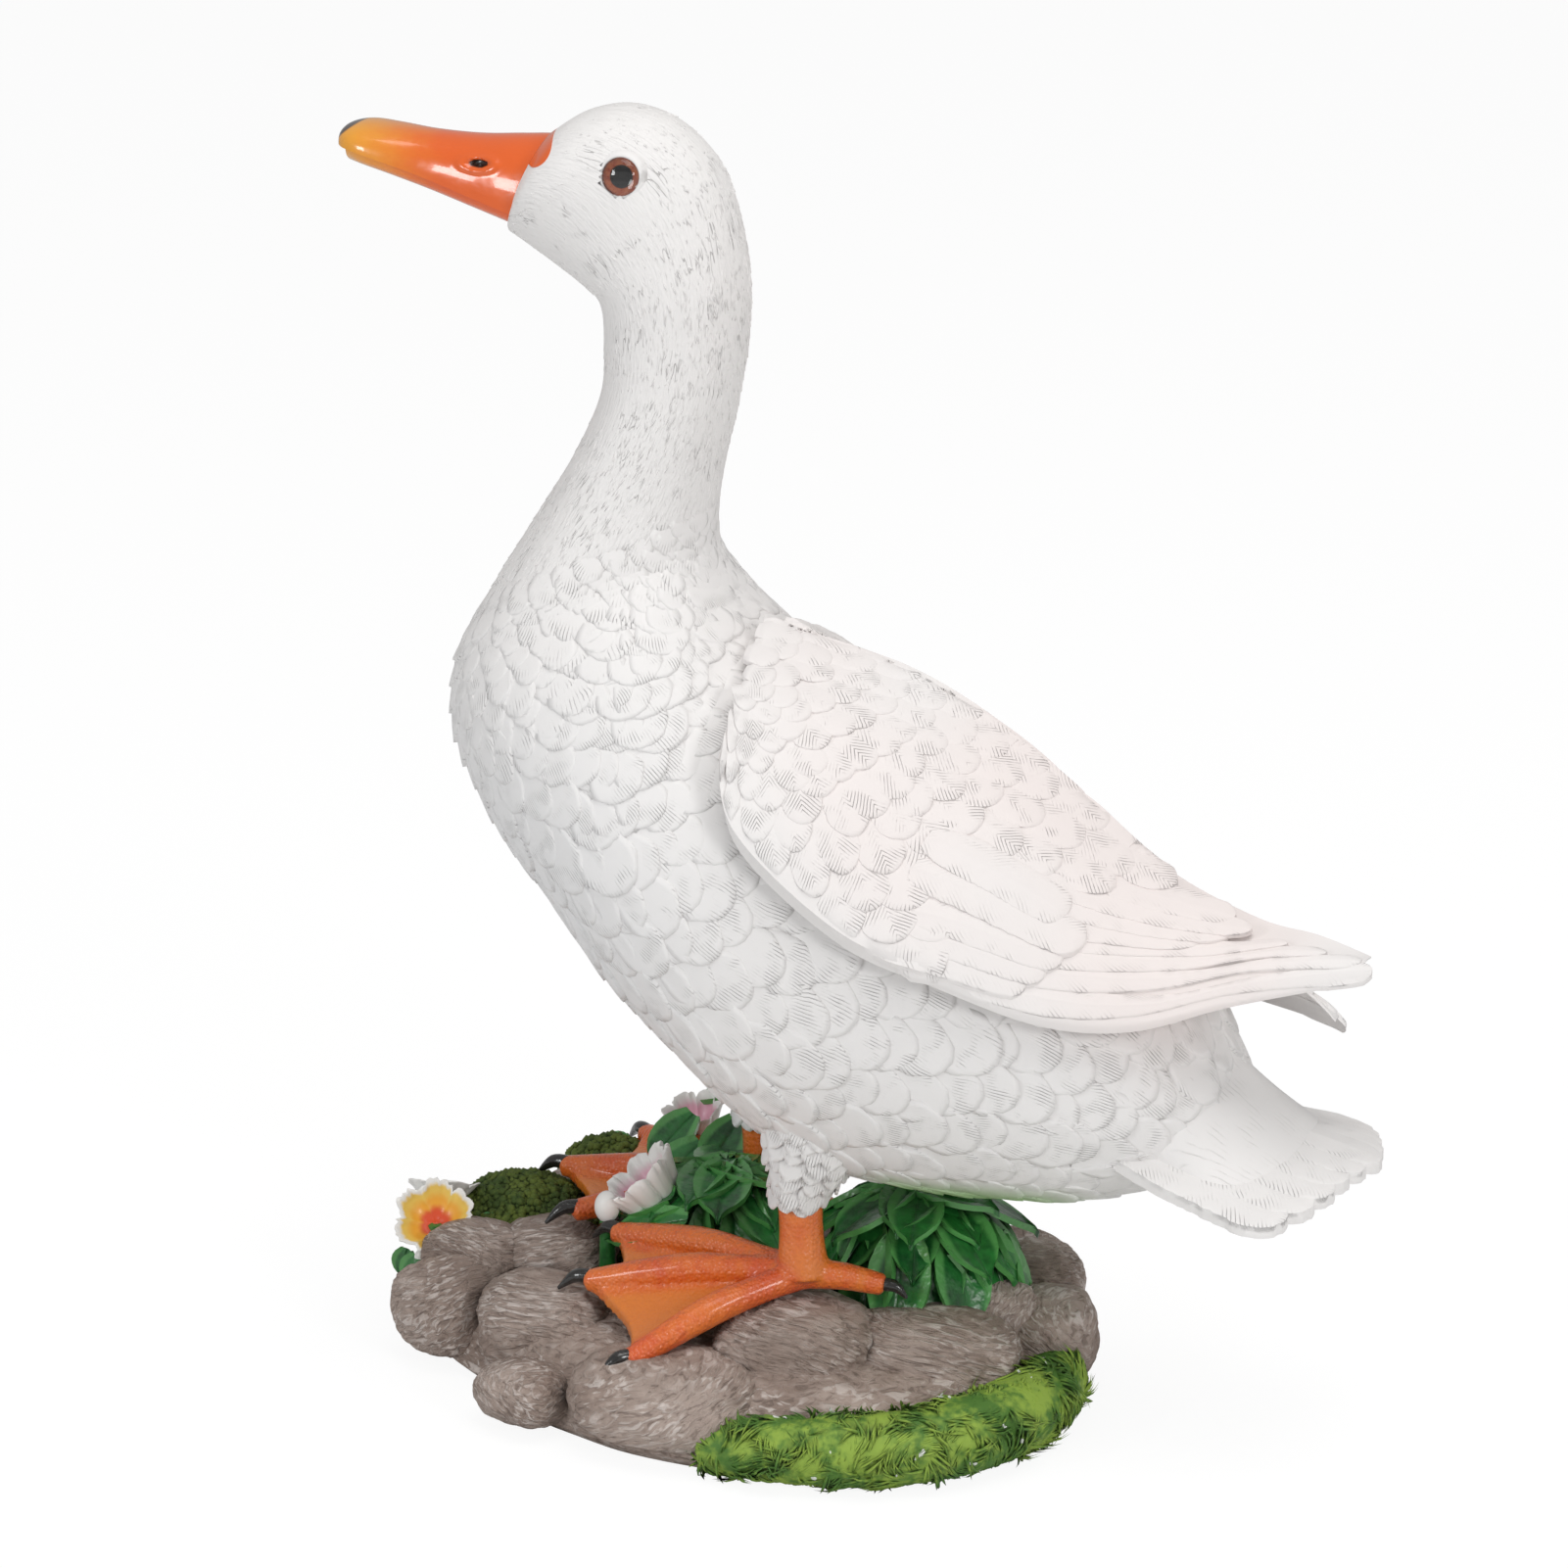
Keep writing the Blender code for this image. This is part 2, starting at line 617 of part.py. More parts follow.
def make_tail(group, material):
    """A fan of broad feathers, the middle one longest and on top."""
    order = sorted(range(TAIL_FEATHERS), key=lambda i: -abs(i - (TAIL_FEATHERS - 1) / 2))
    for i in order:
        share = 2.0 * i / (TAIL_FEATHERS - 1) - 1.0
        stack = 1.0 - abs(share)
        root = on_duck(TAIL_ROOT[0], share * TAIL_ROOT_SPREAD / 2, TAIL_ROOT[1] + TAIL_ROOT_CAMBER * stack)
        tip_x = TAIL_MIDDLE_TIP[0] + (TAIL_SIDE_TIP[0] - TAIL_MIDDLE_TIP[0]) * share ** 2
        tip_z = TAIL_MIDDLE_TIP[1] + (TAIL_SIDE_TIP[1] - TAIL_MIDDLE_TIP[1]) * share ** 2
        tip = on_duck(tip_x, share * TAIL_SPREAD / 2, tip_z)
        middle = (root + tip) / 2 + Vector((0, 0, TAIL_ROOT_CAMBER * stack)) * MM
        up = Vector((0.0, 0.25 * share, 1.0)).normalized()
        blade("tail_feather_%02d" % i, [root, middle, tip], [up] * 3, TAIL_FEATHER_WIDTH, BLADE_CREST,
              TAIL_THICKNESS, group, material)


# Legs and feet

def rod(name, points, radii, group, material, sides=8):
    """A rounded rod through the points, with its own radius at each."""
    rings = []
    for i, point in enumerate(points):
        ahead = (points[min(i + 1, len(points) - 1)] - points[max(i - 1, 0)]).normalized()
        turn = ahead.to_track_quat("Z", "Y").to_matrix()
        rings.append([point + turn @ Vector((cos(2 * pi * j / sides), sin(2 * pi * j / sides), 0)) * radii[i] * MM
                      for j in range(sides)])
    first = points[0] - (points[1] - points[0]).normalized() * radii[0] * 0.5 * MM
    last = points[-1] + (points[-1] - points[-2]).normalized() * radii[-1] * 0.5 * MM
    return skin(name, [[first], *rings, [last]], group, material)


def make_leg(side, group, feather_paint, skin_paint, claw_paint):
    """Thigh, shank and webbed foot of one side."""
    label = "left" if side < 0 else "right"
    y = side * STANCE / 2
    ankle_x = ANKLE_X[0] if side < 0 else ANKLE_X[1]
    ankle = on_duck(ankle_x, y, ANKLE_HEIGHT)
    hip = on_duck(ankle_x + HIP_SETBACK, y, HIP_HEIGHT)
    knee = on_duck(ankle_x - 1.0, y, THIGH_DROP)
    rod(label + "_thigh", [hip, (hip * 2 + knee) / 3, knee],
        [THIGH_WIDTH / 2, THIGH_WIDTH / 2.2, SHANK_DIAMETER / 2 + 1.5], group, feather_paint, sides=12)
    rod(label + "_shank", [knee + Vector((0.7, 0.4, 7.0)) * MM, (knee + ankle) / 2, ankle],
        [SHANK_DIAMETER / 2, SHANK_DIAMETER / 2.3, SHANK_DIAMETER / 1.9], group, skin_paint)

    toe_ends = []
    for number, (turn, reach, drop) in enumerate(LEFT_TOES if side < 0 else RIGHT_TOES):
        ahead = Vector((-cos(radians(turn)), side * sin(radians(turn)), 0.0))
        end = ankle + ahead * reach * MM - Vector((0, 0, drop)) * MM
        toe_ends.append(end)
        knuckle = ankle + (end - ankle) * 0.55 + Vector((0, 0, KNUCKLE_RISE)) * MM
        near = ankle + (end - ankle) * 0.25 + Vector((0, 0, HEEL_RISE)) * MM
        rod("%s_toe_%d" % (label, number), [ankle, near, knuckle, end],
            [TOE_DIAMETER / 2, TOE_DIAMETER / 2.3, TOE_DIAMETER / 2, TOE_DIAMETER / 2.6], group, skin_paint, sides=6)
        claw_end = end + ahead * CLAW_LENGTH * MM + Vector((0, 0, -1.8)) * MM
        rod("%s_claw_%d" % (label, number), [end, (end + claw_end) / 2, claw_end],
            [CLAW_DIAMETER / 2, CLAW_DIAMETER / 2.2, 0.5], group, claw_paint, sides=6)

    web = []
    for a, b in zip(toe_ends, toe_ends[1:]):
        web += [a, ankle + ((a + b) / 2 - ankle) * 0.93]
    web.append(toe_ends[-1])
    outline = [ankle + Vector((3.0, 0, 0)) * MM, *web]
    plate = bmesh.new()
    top = [plate.verts.new(point + Vector((0, 0, WEB_THICKNESS / 2)) * MM) for point in outline]
    low = [plate.verts.new(point - Vector((0, 0, WEB_THICKNESS)) * MM) for point in outline]
    for i in range(1, len(outline) - 1):
        plate.faces.new((top[0], top[i], top[i + 1]))
        plate.faces.new((low[0], low[i + 1], low[i]))
    for i in range(len(outline)):
        k = (i + 1) % len(outline)
        plate.faces.new((top[i], low[i], low[k], top[k]))
    finish_mesh(label + "_web", plate, group, skin_paint)

    hind_end = ankle + Vector((HIND_TOE_LENGTH, -side * 4.0, -2.0)) * MM
    rod(label + "_hind_toe", [ankle, (ankle + hind_end) / 2, hind_end],
        [TOE_DIAMETER / 2, TOE_DIAMETER / 2.4, TOE_DIAMETER / 3], group, skin_paint, sides=6)
    rod(label + "_hind_claw", [hind_end, hind_end + Vector((CLAW_LENGTH, 0, -1.5)) * MM],
        [CLAW_DIAMETER / 2, 0.6], group, claw_paint, sides=6)


# Base

def make_ground(group, material):
    """The flat-bottomed core that the stones are bedded in."""
    count = len(BASE_OUTLINE)
    middle = (sum(p[0] for p in BASE_OUTLINE) / count, sum(p[1] for p in BASE_OUTLINE) / count)
    rings = []
    for height, share in ((0.0, 0.9), (0.11 * BASE_HEIGHT, 0.96), (0.5 * BASE_HEIGHT, 0.94), (0.85 * BASE_HEIGHT, 0.84),
                          (BASE_HEIGHT, 0.6)):
        rings.append([on_base(middle[0] + (x - middle[0]) * share, middle[1] + (y - middle[1]) * share, height)
                      for x, y in BASE_OUTLINE])
    return skin("ground", rings, group, material)


def make_stones(group, material):
    for number, (x, y, z, length, depth, height, turn) in enumerate(STONES):
        z = max(z, height * 1.1 + UNDERSIDE_GAP)
        ellipsoid("stone_%02d" % number, on_base(x, y, z), (length, depth, height),
                  Matrix.Rotation(radians(turn), 3, "Z"), group, material, STONE_FACETS, 0.16, number)


def make_grass(group, material):
    """A grassy bank along the near edge, with tufts standing out of it."""
    last = len(GRASS_BANK) - 1
    radii = [BANK_HEIGHT * (0.32 + 0.16 * sin(pi * i / last)) for i in range(last + 1)]
    points = [on_base(x, y, radius + UNDERSIDE_GAP) for (x, y), radius in zip(GRASS_BANK, radii)]
    rod("grass_bank", points, radii, group, material, sides=8)
    draw = random.Random(7)
    for number in range(TUFTS):
        share = (number + 0.5) / TUFTS
        foot = Vector(spline(points, share))
        lean = Vector((draw.uniform(-0.5, 0.5), draw.uniform(-0.9, -0.1), draw.uniform(0.6, 1.6))).normalized()
        tip = foot + lean * (BANK_HEIGHT / 2 + TUFT_LENGTH * draw.uniform(0.5, 1.0)) * MM
        rod("tuft_%02d" % number, [foot, (foot + tip) / 2 + Vector((0, 0, 1.5)) * MM, tip],
            [TUFT_DIAMETER / 2, TUFT_DIAMETER / 2.4, 0.5], group, material, sides=4)


def make_bush(number, bush, group, material):
    """A clump of drooping pointed leaves round a mound."""
    x, y, height, radius, leaves, length, width = bush
    middle = on_base(x, y, height * 0.55)
    ellipsoid("bush_%d" % number, middle, (radius, radius, height * 0.5), Matrix.Identity(3), group, material,
              2, 0.1, number)
    for i in range(leaves):
        ring = i % 2
        turn = 2 * pi * (i / leaves) + 0.35 * ring
        ahead = Vector((cos(turn), sin(turn), 0.0))
        root = middle + ahead * radius * 0.35 * MM + Vector((0, 0, height * (0.42 if ring else 0.25))) * MM
        knee = root + ahead * length * 0.5 * MM + Vector((0, 0, 3.0)) * MM
        tip = root + ahead * length * 0.85 * MM - Vector((0, 0, length * 0.35)) * MM
        normal = Vector((ahead.x * 0.3, ahead.y * 0.3, 1.0)).normalized()
        tilted = Vector((ahead.x, ahead.y, 0.9)).normalized()
        blade("leaf_%d_%02d" % (number, i), [root, knee, tip], [normal, normal, tilted], width, 1.2, 2.6,
              group, material)


def make_flower(number, flower, group, petal_paint, stalk_paint):
    """A fluted cup on a stalk."""
    x, y, rim_height, radius, petals, tilt, turn = flower
    sides = petals * 2
    lean = Matrix.Rotation(radians(turn), 3, "Z") @ Matrix.Rotation(radians(tilt), 3, "Y")
    heart = on_base(x, y, rim_height - radius)
    rings = [[heart + lean @ Vector((0, 0, -0.3 * radius)) * MM]]
    for reach, rise in ((0.45, 0.0), (0.85, 0.45), (1.0, 1.0), (0.86, 1.0), (0.5, 0.4)):
        ring = []
        for j in range(sides):
            spread = radius * reach * (1.0 if j % 2 else 0.84)
            lift = radius * (rise + (0.14 if j % 2 and rise == 1.0 else 0.0))
            angle = 2 * pi * j / sides
            ring.append(heart + lean @ Vector((spread * cos(angle), spread * sin(angle), lift)) * MM)
        rings.append(ring)
    rings.append([heart + lean @ Vector((0, 0, 0.3 * radius)) * MM])
    skin("flower_%d" % number, rings, group, petal_paint)
    rod("stalk_%d" % number, [on_base(x, y, STALK_FOOT), heart], [STALK_DIAMETER / 2 + 1.0, STALK_DIAMETER / 2],
        group, stalk_paint, sides=6)


def make_buds(group, petal_paint, stalk_paint):
    for number, (x, y, height, radius) in enumerate(BUDS):
        ellipsoid("bud_%d" % number, on_base(x, y, height), (radius, radius, radius * 1.3), Matrix.Identity(3),
                  group, petal_paint, 1)
        rod("bud_stalk_%d" % number, [on_base(x, y, STALK_FOOT), on_base(x, y, height)], [3.2, 2.2], group,
            stalk_paint, sides=6)


# One casting

def combine(made, name, operation, group):
    """Join a whole collection to an object, or cut it away."""
    step = made.modifiers.new(name, "BOOLEAN")
    step.operation = operation
    step.operand_type = "COLLECTION"
    step.collection = group
    step.solver = "MANIFOLD"
    step.material_mode = "TRANSFER"


def make_plain(made):
    """Replace an object's modifiers by the mesh that they make."""
    bpy.context.view_layer.update()
    solid = bpy.data.meshes.new_from_object(made.evaluated_get(bpy.context.evaluated_depsgraph_get()))
    made.modifiers.clear()
    made.data = solid


def fill_bubbles(mesh):
    """Fill the sealed bubbles that overlapping feathers enclose, and drop crumbs where edges graze."""
    solid = bmesh.new()
    solid.from_mesh(mesh)
    bmesh.ops.triangulate(solid, faces=solid.faces[:], ngon_method="EAR_CLIP")
    waiting = set(solid.faces)
    while waiting:
        shell = {waiting.pop()}
        edge_of_search = set(shell)
        while edge_of_search:
            face = edge_of_search.pop()
            for edge in face.edges:
                for neighbour in edge.link_faces:
                    if neighbour not in shell:
                        shell.add(neighbour)
                        edge_of_search.add(neighbour)
        waiting -= shell
        volume = sum(a.co.dot(b.co.cross(c.co)) for a, b, c in (face.verts for face in shell)) / 6
        if volume < CRUMB * MM ** 3:
            bmesh.ops.delete(solid, geom=list(shell), context="FACES")
    solid.to_mesh(mesh)
    solid.free()


def main():
    clear_scene()
    figurine = new_collection("duck_figurine")
    forms = new_collection("casting_forms")
    lids = new_collection("eyelid_forms")
    sockets = new_collection("eye_socket_forms")

    white = paint("feather_white", (0.82, 0.80, 0.78), 0.55)
    orange = paint("bill_orange", (0.80, 0.30, 0.04), 0.3)
    nail_brown = paint("nail_brown", (0.06, 0.03, 0.02), 0.35)
    leg_orange = paint("leg_orange", (0.78, 0.28, 0.05), 0.4)
    claw_black = paint("claw_black", (0.02, 0.02, 0.02), 0.3)
    rock = paint("rock_taupe", (0.26, 0.20, 0.17), 0.8)
    moss_green = paint("moss_green", (0.20, 0.22, 0.05), 0.9)
    grass_green = paint("grass_green", (0.42, 0.48, 0.12), 0.8)
    leaf_green = paint("leaf_green", (0.05, 0.12, 0.03), 0.4)
    petal_pink = paint("petal_pink", (0.85, 0.55, 0.55), 0.6)
    glass = paint("eye_glass", (0.05, 0.02, 0.01), 0.05)

    trunk = make_trunk(figurine, white)
    head = make_head_and_neck(forms, white)
    bill = make_upper_bill(forms, orange)
    make_lower_bill(forms, orange)
    make_bill_details(forms, nail_brown, nail_brown, bill)
    for side in (-1, 1):
        make_wing(side, forms, white)
    make_tail(forms, white)
    for side in (-1, 1):
        make_leg(side, forms, white, leg_orange, claw_black)
    make_ground(forms, rock)
    make_stones(forms, rock)
    for number, (x, y, z, length, depth, height) in enumerate(MOSS):
        ellipsoid("moss_%d" % number, on_base(x, y, z), (length, depth, height), Matrix.Identity(3), forms,
                  moss_green, 2, 0.12, 40 + number)
    make_grass(forms, grass_green)
    for number, bush in enumerate(BUSHES):
        make_bush(number, bush, forms, leaf_green)
    for number, flower in enumerate(FLOWERS):
        make_flower(number, flower, forms, petal_pink, leaf_green)
    make_buds(forms, petal_pink, leaf_green)

    for side, name in ((-1, "left_eye"), (1, "right_eye")):
        place = eye_place(side, head)
        turned(name, eye_profile(), place, figurine, glass)
        turned(name + "_lid", lid_profile(), place, lids, white)
        turned(name + "_socket", eye_profile(EYE_CLEARANCE), place, sockets, white)

    for cutter in list(forms.objects) + list(lids.objects) + list(sockets.objects):
        cutter.hide_render = True
        cutter.display_type = "WIRE"
    combine(head, "eyelids", "UNION", lids)
    combine(head, "eye_sockets", "DIFFERENCE", sockets)
    combine(trunk, "one_casting", "UNION", forms)
    make_plain(trunk)
    fill_bubbles(trunk.data)
    trunk.name = "duck_casting"
    thin = trunk.modifiers.new("fewer_slivers", "DECIMATE")
    thin.decimate_type = "COLLAPSE"
    thin.ratio = KEPT_FACETS


main()
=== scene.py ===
# %% [markdown]
# A garden figurine: a white duck that stands on a rock base with leaves, moss, grass and flowers.
# The real thing is one hollow resin casting, painted by hand, with two glass eyes glued in. This lesson
# dresses the plain solid of that casting: smooth forms are lofted, small forms that repeat are laid by
# Geometry Nodes, and the paint is made of shader nodes.

# %% Open the frame
import random
from math import cos, exp, pi, radians, sin

import bmesh
import bpy
from mathutils import Matrix, Vector, noise
from mathutils.bvhtree import BVHTree
from mathutils.kdtree import KDTree


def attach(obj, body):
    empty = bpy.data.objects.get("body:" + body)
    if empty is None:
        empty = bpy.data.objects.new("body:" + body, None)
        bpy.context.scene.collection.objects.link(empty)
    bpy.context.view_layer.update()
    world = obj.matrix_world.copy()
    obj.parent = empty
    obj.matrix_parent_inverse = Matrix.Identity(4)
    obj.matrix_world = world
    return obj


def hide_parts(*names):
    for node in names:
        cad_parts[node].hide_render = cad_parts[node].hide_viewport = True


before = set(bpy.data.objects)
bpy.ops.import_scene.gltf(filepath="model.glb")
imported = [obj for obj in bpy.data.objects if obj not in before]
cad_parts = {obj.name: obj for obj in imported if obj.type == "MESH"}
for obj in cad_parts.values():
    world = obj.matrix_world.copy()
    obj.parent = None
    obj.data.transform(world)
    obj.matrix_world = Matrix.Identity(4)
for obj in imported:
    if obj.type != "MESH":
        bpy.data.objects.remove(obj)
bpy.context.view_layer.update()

MM = 0.001
SIDES = {-1: "left", 1: "right"}

# %% [markdown]
# The studio, the paint and the trees that lay copies are all made of nodes. Two helpers keep them short.
# One adds a node and links or sets its inputs. The other wraps a socket, so that plain arithmetic on it
# lays Math nodes and the rest of the lesson can write sums as sums.

# %% Helpers for node trees
def put(tree, socket, value):
    """Link a socket or a Value to an input, or set the input to a plain value."""
    value = getattr(value, "socket", value)
    if isinstance(value, bpy.types.NodeSocket):
        tree.links.new(value, socket)
    elif socket.type == "RGBA":
        socket.default_value = (*value, 1.0)
    else:
        socket.default_value = value


def add_node(tree, kind, inputs=None, **settings):
    """Add a node with its settings; its inputs are given by name or by place."""
    node = tree.nodes.new(kind)
    for title, value in settings.items():
        setattr(node, title, value)
    for place, value in (inputs or {}).items():
        put(tree, node.inputs[place], value)
    return node


class Value:
    """A number, place or colour in a tree."""

    def __init__(self, tree, socket):
        self.tree, self.socket = tree, socket

    def math(self, operation, *operands, clamp=False):
        """A Math node on the operands, or on this value alone."""
        node = add_node(self.tree, "ShaderNodeMath", dict(enumerate(operands or (self,))),
                        operation=operation, use_clamp=clamp)
        return Value(self.tree, node.outputs[0])

    def __add__(self, other):
        return self.math("ADD", self, other)

    def __sub__(self, other):
        return self.math("SUBTRACT", self, other)

    def __rsub__(self, other):
        return self.math("SUBTRACT", other, self)

    def __mul__(self, other):
        return self.math("MULTIPLY", self, other)

    def __truediv__(self, other):
        return self.math("DIVIDE", self, other)

    def __pow__(self, other):
        return self.math("POWER", self, other)

    def __neg__(self):
        return self * -1.0

    def __abs__(self):
        return self.math("ABSOLUTE")

    def ramp(self, low, high):
        """0 below low, 1 above high and a soft step between."""
        node = add_node(self.tree, "ShaderNodeMapRange", {"Value": self, "From Min": low, "From Max": high},
                        interpolation_type="SMOOTHSTEP")
        return Value(self.tree, node.outputs["Result"])

    def noise(self, scale, detail=2.0, distortion=0.0):
        """Noise read at this place."""
        node = add_node(self.tree, "ShaderNodeTexNoise", {"Vector": self, "Scale": scale, "Detail": detail,
                                                          "Distortion": distortion})
        return Value(self.tree, node.outputs["Fac"])

    def parts(self):
        """The three numbers of this place."""
        node = add_node(self.tree, "ShaderNodeSeparateXYZ", {0: self})
        return [Value(self.tree, part) for part in node.outputs]

    def mix(self, first, second):
        """Two colours mixed by this share."""
        node = add_node(self.tree, "ShaderNodeMix", {0: self, 6: first, 7: second}, data_type="RGBA")
        return Value(self.tree, node.outputs[2])


def new_tree(name, kind, inputs, output, output_kind):
    """A node group with named sockets; returns it, its given values by name and its last node."""
    tree = bpy.data.node_groups.new(name, kind)
    for title, socket_kind in inputs.items():
        tree.interface.new_socket(title, in_out="INPUT", socket_type="NodeSocket" + socket_kind)
    tree.interface.new_socket(output, in_out="OUTPUT", socket_type="NodeSocket" + output_kind)
    start, end = tree.nodes.new("NodeGroupInput"), tree.nodes.new("NodeGroupOutput")
    return tree, {title: Value(tree, start.outputs[title]) for title in inputs}, end


print("node helpers are ready")

# %% [markdown]
# The reference view looks at the duck's left side from a little behind its shoulder and a little above.
# A long lens keeps the verticals parallel. The studio is a pale floor, an even white world and three soft
# lamps. White paint shows its carving only where light grazes it, so the overhead lamp is the strongest,
# and the two at the sides are small enough to leave a glint each on the glass eye and the glossy bill. For
# the camera the floor and the world are plain white, and the floor still takes the shadow.

# %% Camera, floor, world and lamps
CAMERA_PLACE = (0.5366, -1.4453, 0.6146)
CAMERA_TARGET = (0.0105, 0.0, 0.1735)
CAMERA_LENS = 133.1
FLOOR_SIZE = 8.0
FLOOR_DROP = 0.0002
FLOOR_GREY = 0.82
FLOOR_GLOW = 1.06
GLOW_SHARE = 0.86
WORLD_LIGHT = 0.42
LAMP_TARGET = (0.02, 0.0, 0.2)
# name, place, size, watts, tint
LAMPS = (
    ("lamp_above", (0.35, -0.25, 1.7), (1.1, 1.1), 12.0, (1.0, 0.985, 0.97)),
    ("lamp_right", (1.45, -1.1, 0.8), (0.34, 0.48), 8.5, (1.0, 1.0, 1.0)),
    ("lamp_left", (-0.85, -1.5, 0.72), (0.30, 0.44), 6.8, (0.97, 0.985, 1.0)),
)


def add_object(name, data):
    made = bpy.data.objects.new(name, data)
    bpy.context.scene.collection.objects.link(made)
    return made


def aim(made, place, target):
    """Stand a camera or a lamp at a place, turned towards a target."""
    made.location = place
    made.rotation_euler = (Vector(target) - Vector(place)).to_track_quat("-Z", "Y").to_euler()


def make_camera():
    data = bpy.data.cameras.new("camera")
    data.lens, data.sensor_width = CAMERA_LENS, 36.0
    camera = add_object("camera", data)
    aim(camera, CAMERA_PLACE, CAMERA_TARGET)
    bpy.context.scene.camera = camera
    bpy.context.scene.view_settings.view_transform = "Standard"


def make_floor():
    half = FLOOR_SIZE / 2
    corners = [(x * half, y * half, -FLOOR_DROP) for x, y in ((-1, -1), (1, -1), (1, 1), (-1, 1))]
    mesh = bpy.data.meshes.new("floor")
    mesh.from_pydata(corners, [], [(0, 1, 2, 3)])
    paint = bpy.data.materials.new("floor_white")
    paint.use_nodes = True
    tree = paint.node_tree
    tree.nodes.clear()
    matt = add_node(tree, "ShaderNodeBsdfDiffuse", {"Color": (FLOOR_GREY,) * 3})
    glow = add_node(tree, "ShaderNodeEmission", {"Color": (1.0, 1.0, 1.0), "Strength": FLOOR_GLOW})
    seen = Value(tree, add_node(tree, "ShaderNodeLightPath").outputs["Is Camera Ray"])
    blend = add_node(tree, "ShaderNodeMixShader", {"Fac": seen * GLOW_SHARE, 1: matt.outputs[0],
                                                   2: glow.outputs[0]})
    add_node(tree, "ShaderNodeOutputMaterial", {"Surface": blend.outputs[0]})
    mesh.materials.append(paint)
    floor = add_object("floor", mesh)


def make_world():
    world = bpy.data.worlds.new("studio")
    world.use_nodes = True
    tree = world.node_tree
    path = add_node(tree, "ShaderNodeLightPath")
    seen = Value(tree, path.outputs["Is Camera Ray"])
    seen = seen.math("MAXIMUM", seen, path.outputs["Is Transmission Ray"])
    strength = add_node(tree, "ShaderNodeMapRange", {"Value": seen, "To Min": WORLD_LIGHT, "To Max": 1.0})
    back = tree.nodes["Background"]
    put(tree, back.inputs["Color"], (1.0, 1.0, 1.0))
    put(tree, back.inputs["Strength"], strength.outputs["Result"])
    bpy.context.scene.world = world


def make_lamp(name, place, size, watts, tint):
    data = bpy.data.lights.new(name, "AREA")
    data.shape = "RECTANGLE"
    data.size, data.size_y = size
    data.energy, data.color = watts, tint
    aim(add_object(name, data), place, LAMP_TARGET)


make_camera()
make_floor()
make_world()
for lamp in LAMPS:
    make_lamp(*lamp)
print("lamps:", [lamp[0] for lamp in LAMPS])

# %% [markdown]
# The duck is a loft, as a sculptor roughs out an armature: sections from the face over the neck to the
# rump, each with a back point, a front point and a width. All heights on the duck are counted from the
# rock top. A smooth line through the sections gives every place on the skin by two shares: around, from
# the back down the left side, and along, from the face to the rump. Feathers are laid with those shares.

# %% The form of the duck
ROCK_TOP = 38.0
BODY_WIDTH = 126.0
NECK_WIDTH = 43.0
HEAD_WIDTH = 41.0
EYE_X = -29.0
EYE_HEIGHT = 306.0
BELLY_FULLNESS = 0.08

# (back x, back height, front x, front height, share of the width above)
HEAD_SECTIONS = (
    (-55.0, 314.0, -66.5, 287.0, 0.68),
    (-45.0, 320.0, -67.5, 285.5, 0.88),
    (-32.5, 322.0, -66.0, 284.5, 0.99),
    (-19.0, 317.5, -62.0, 282.0, 1.0),
    (-8.0, 306.5, -55.5, 278.0, 0.99),
    (-2.5, 291.0, -47.5, 273.0, 0.99),
)
NECK_SECTIONS = (
    (-0.3, 275.0, -41.3, 268.0, 0.96),
    (-0.7, 261.0, -40.2, 256.5, 0.96),
    (-2.6, 248.0, -41.2, 243.0, 1.0),
    (-5.3, 236.0, -48.8, 226.0, 1.12),
    (-8.3, 224.0, -60.0, 208.0, 1.27),
    (-10.5, 212.0, -73.6, 186.0, 1.5),
)
TRUNK_SECTIONS = (
    (-11.0, 203.0, -83.6, 165.0, 0.6),
    (-10.0, 198.0, -82.0, 144.0, 0.73),
    (-8.0, 193.5, -69.0, 121.0, 0.85),
    (-5.0, 189.0, -49.5, 99.0, 0.94),
    (-1.0, 185.0, -29.5, 76.0, 0.99),
    (5.0, 180.0, -9.5, 57.0, 1.0),
    (17.0, 176.5, 9.0, 41.0, 1.0),
    (38.0, 169.0, 28.0, 30.0, 0.98),
    (64.0, 155.0, 50.0, 26.5, 0.93),
    (93.0, 135.0, 75.0, 26.0, 0.83),
    (118.0, 109.0, 100.0, 28.0, 0.68),
    (134.0, 84.0, 120.0, 34.0, 0.5),
    (144.0, 63.0, 135.0, 45.0, 0.32),
)


def spline(points, share):
    """The point at a share of the way, 0 to 1, along a smooth line through the given points."""
    place = min(max(share, 0.0), 1.0) * (len(points) - 1)
    i = min(int(place), len(points) - 2)
    f = place - i
    last = len(points) - 1
    before, start, end, after = points[max(i - 1, 0)], points[i], points[i + 1], points[min(i + 2, last)]
    return tuple(
        0.5 * (2 * b + (c - a) * f + (2 * a - 5 * b + 4 * c - d) * f ** 2
               + (3 * b - a - 3 * c + d) * f ** 3)
        for a, b, c, d in zip(before, start, end, after)
    )


def value_at(values, share):
    """The number at a share of the way along a smooth run of numbers."""
    return spline([(value,) for value in values], share)[0]


def smooth(value, low, high):
    """0 below low, 1 above high and a soft step between."""
    share = min(1.0, max(0.0, (value - low) / (high - low)))
    return share * share * (3.0 - 2.0 * share)


def mm(x, y, z):
    return Vector((x, y, z)) * MM


def on_duck(x, y, height):
    """A place on the duck, its height counted from the rock top."""
    return mm(x, y, height + ROCK_TOP)


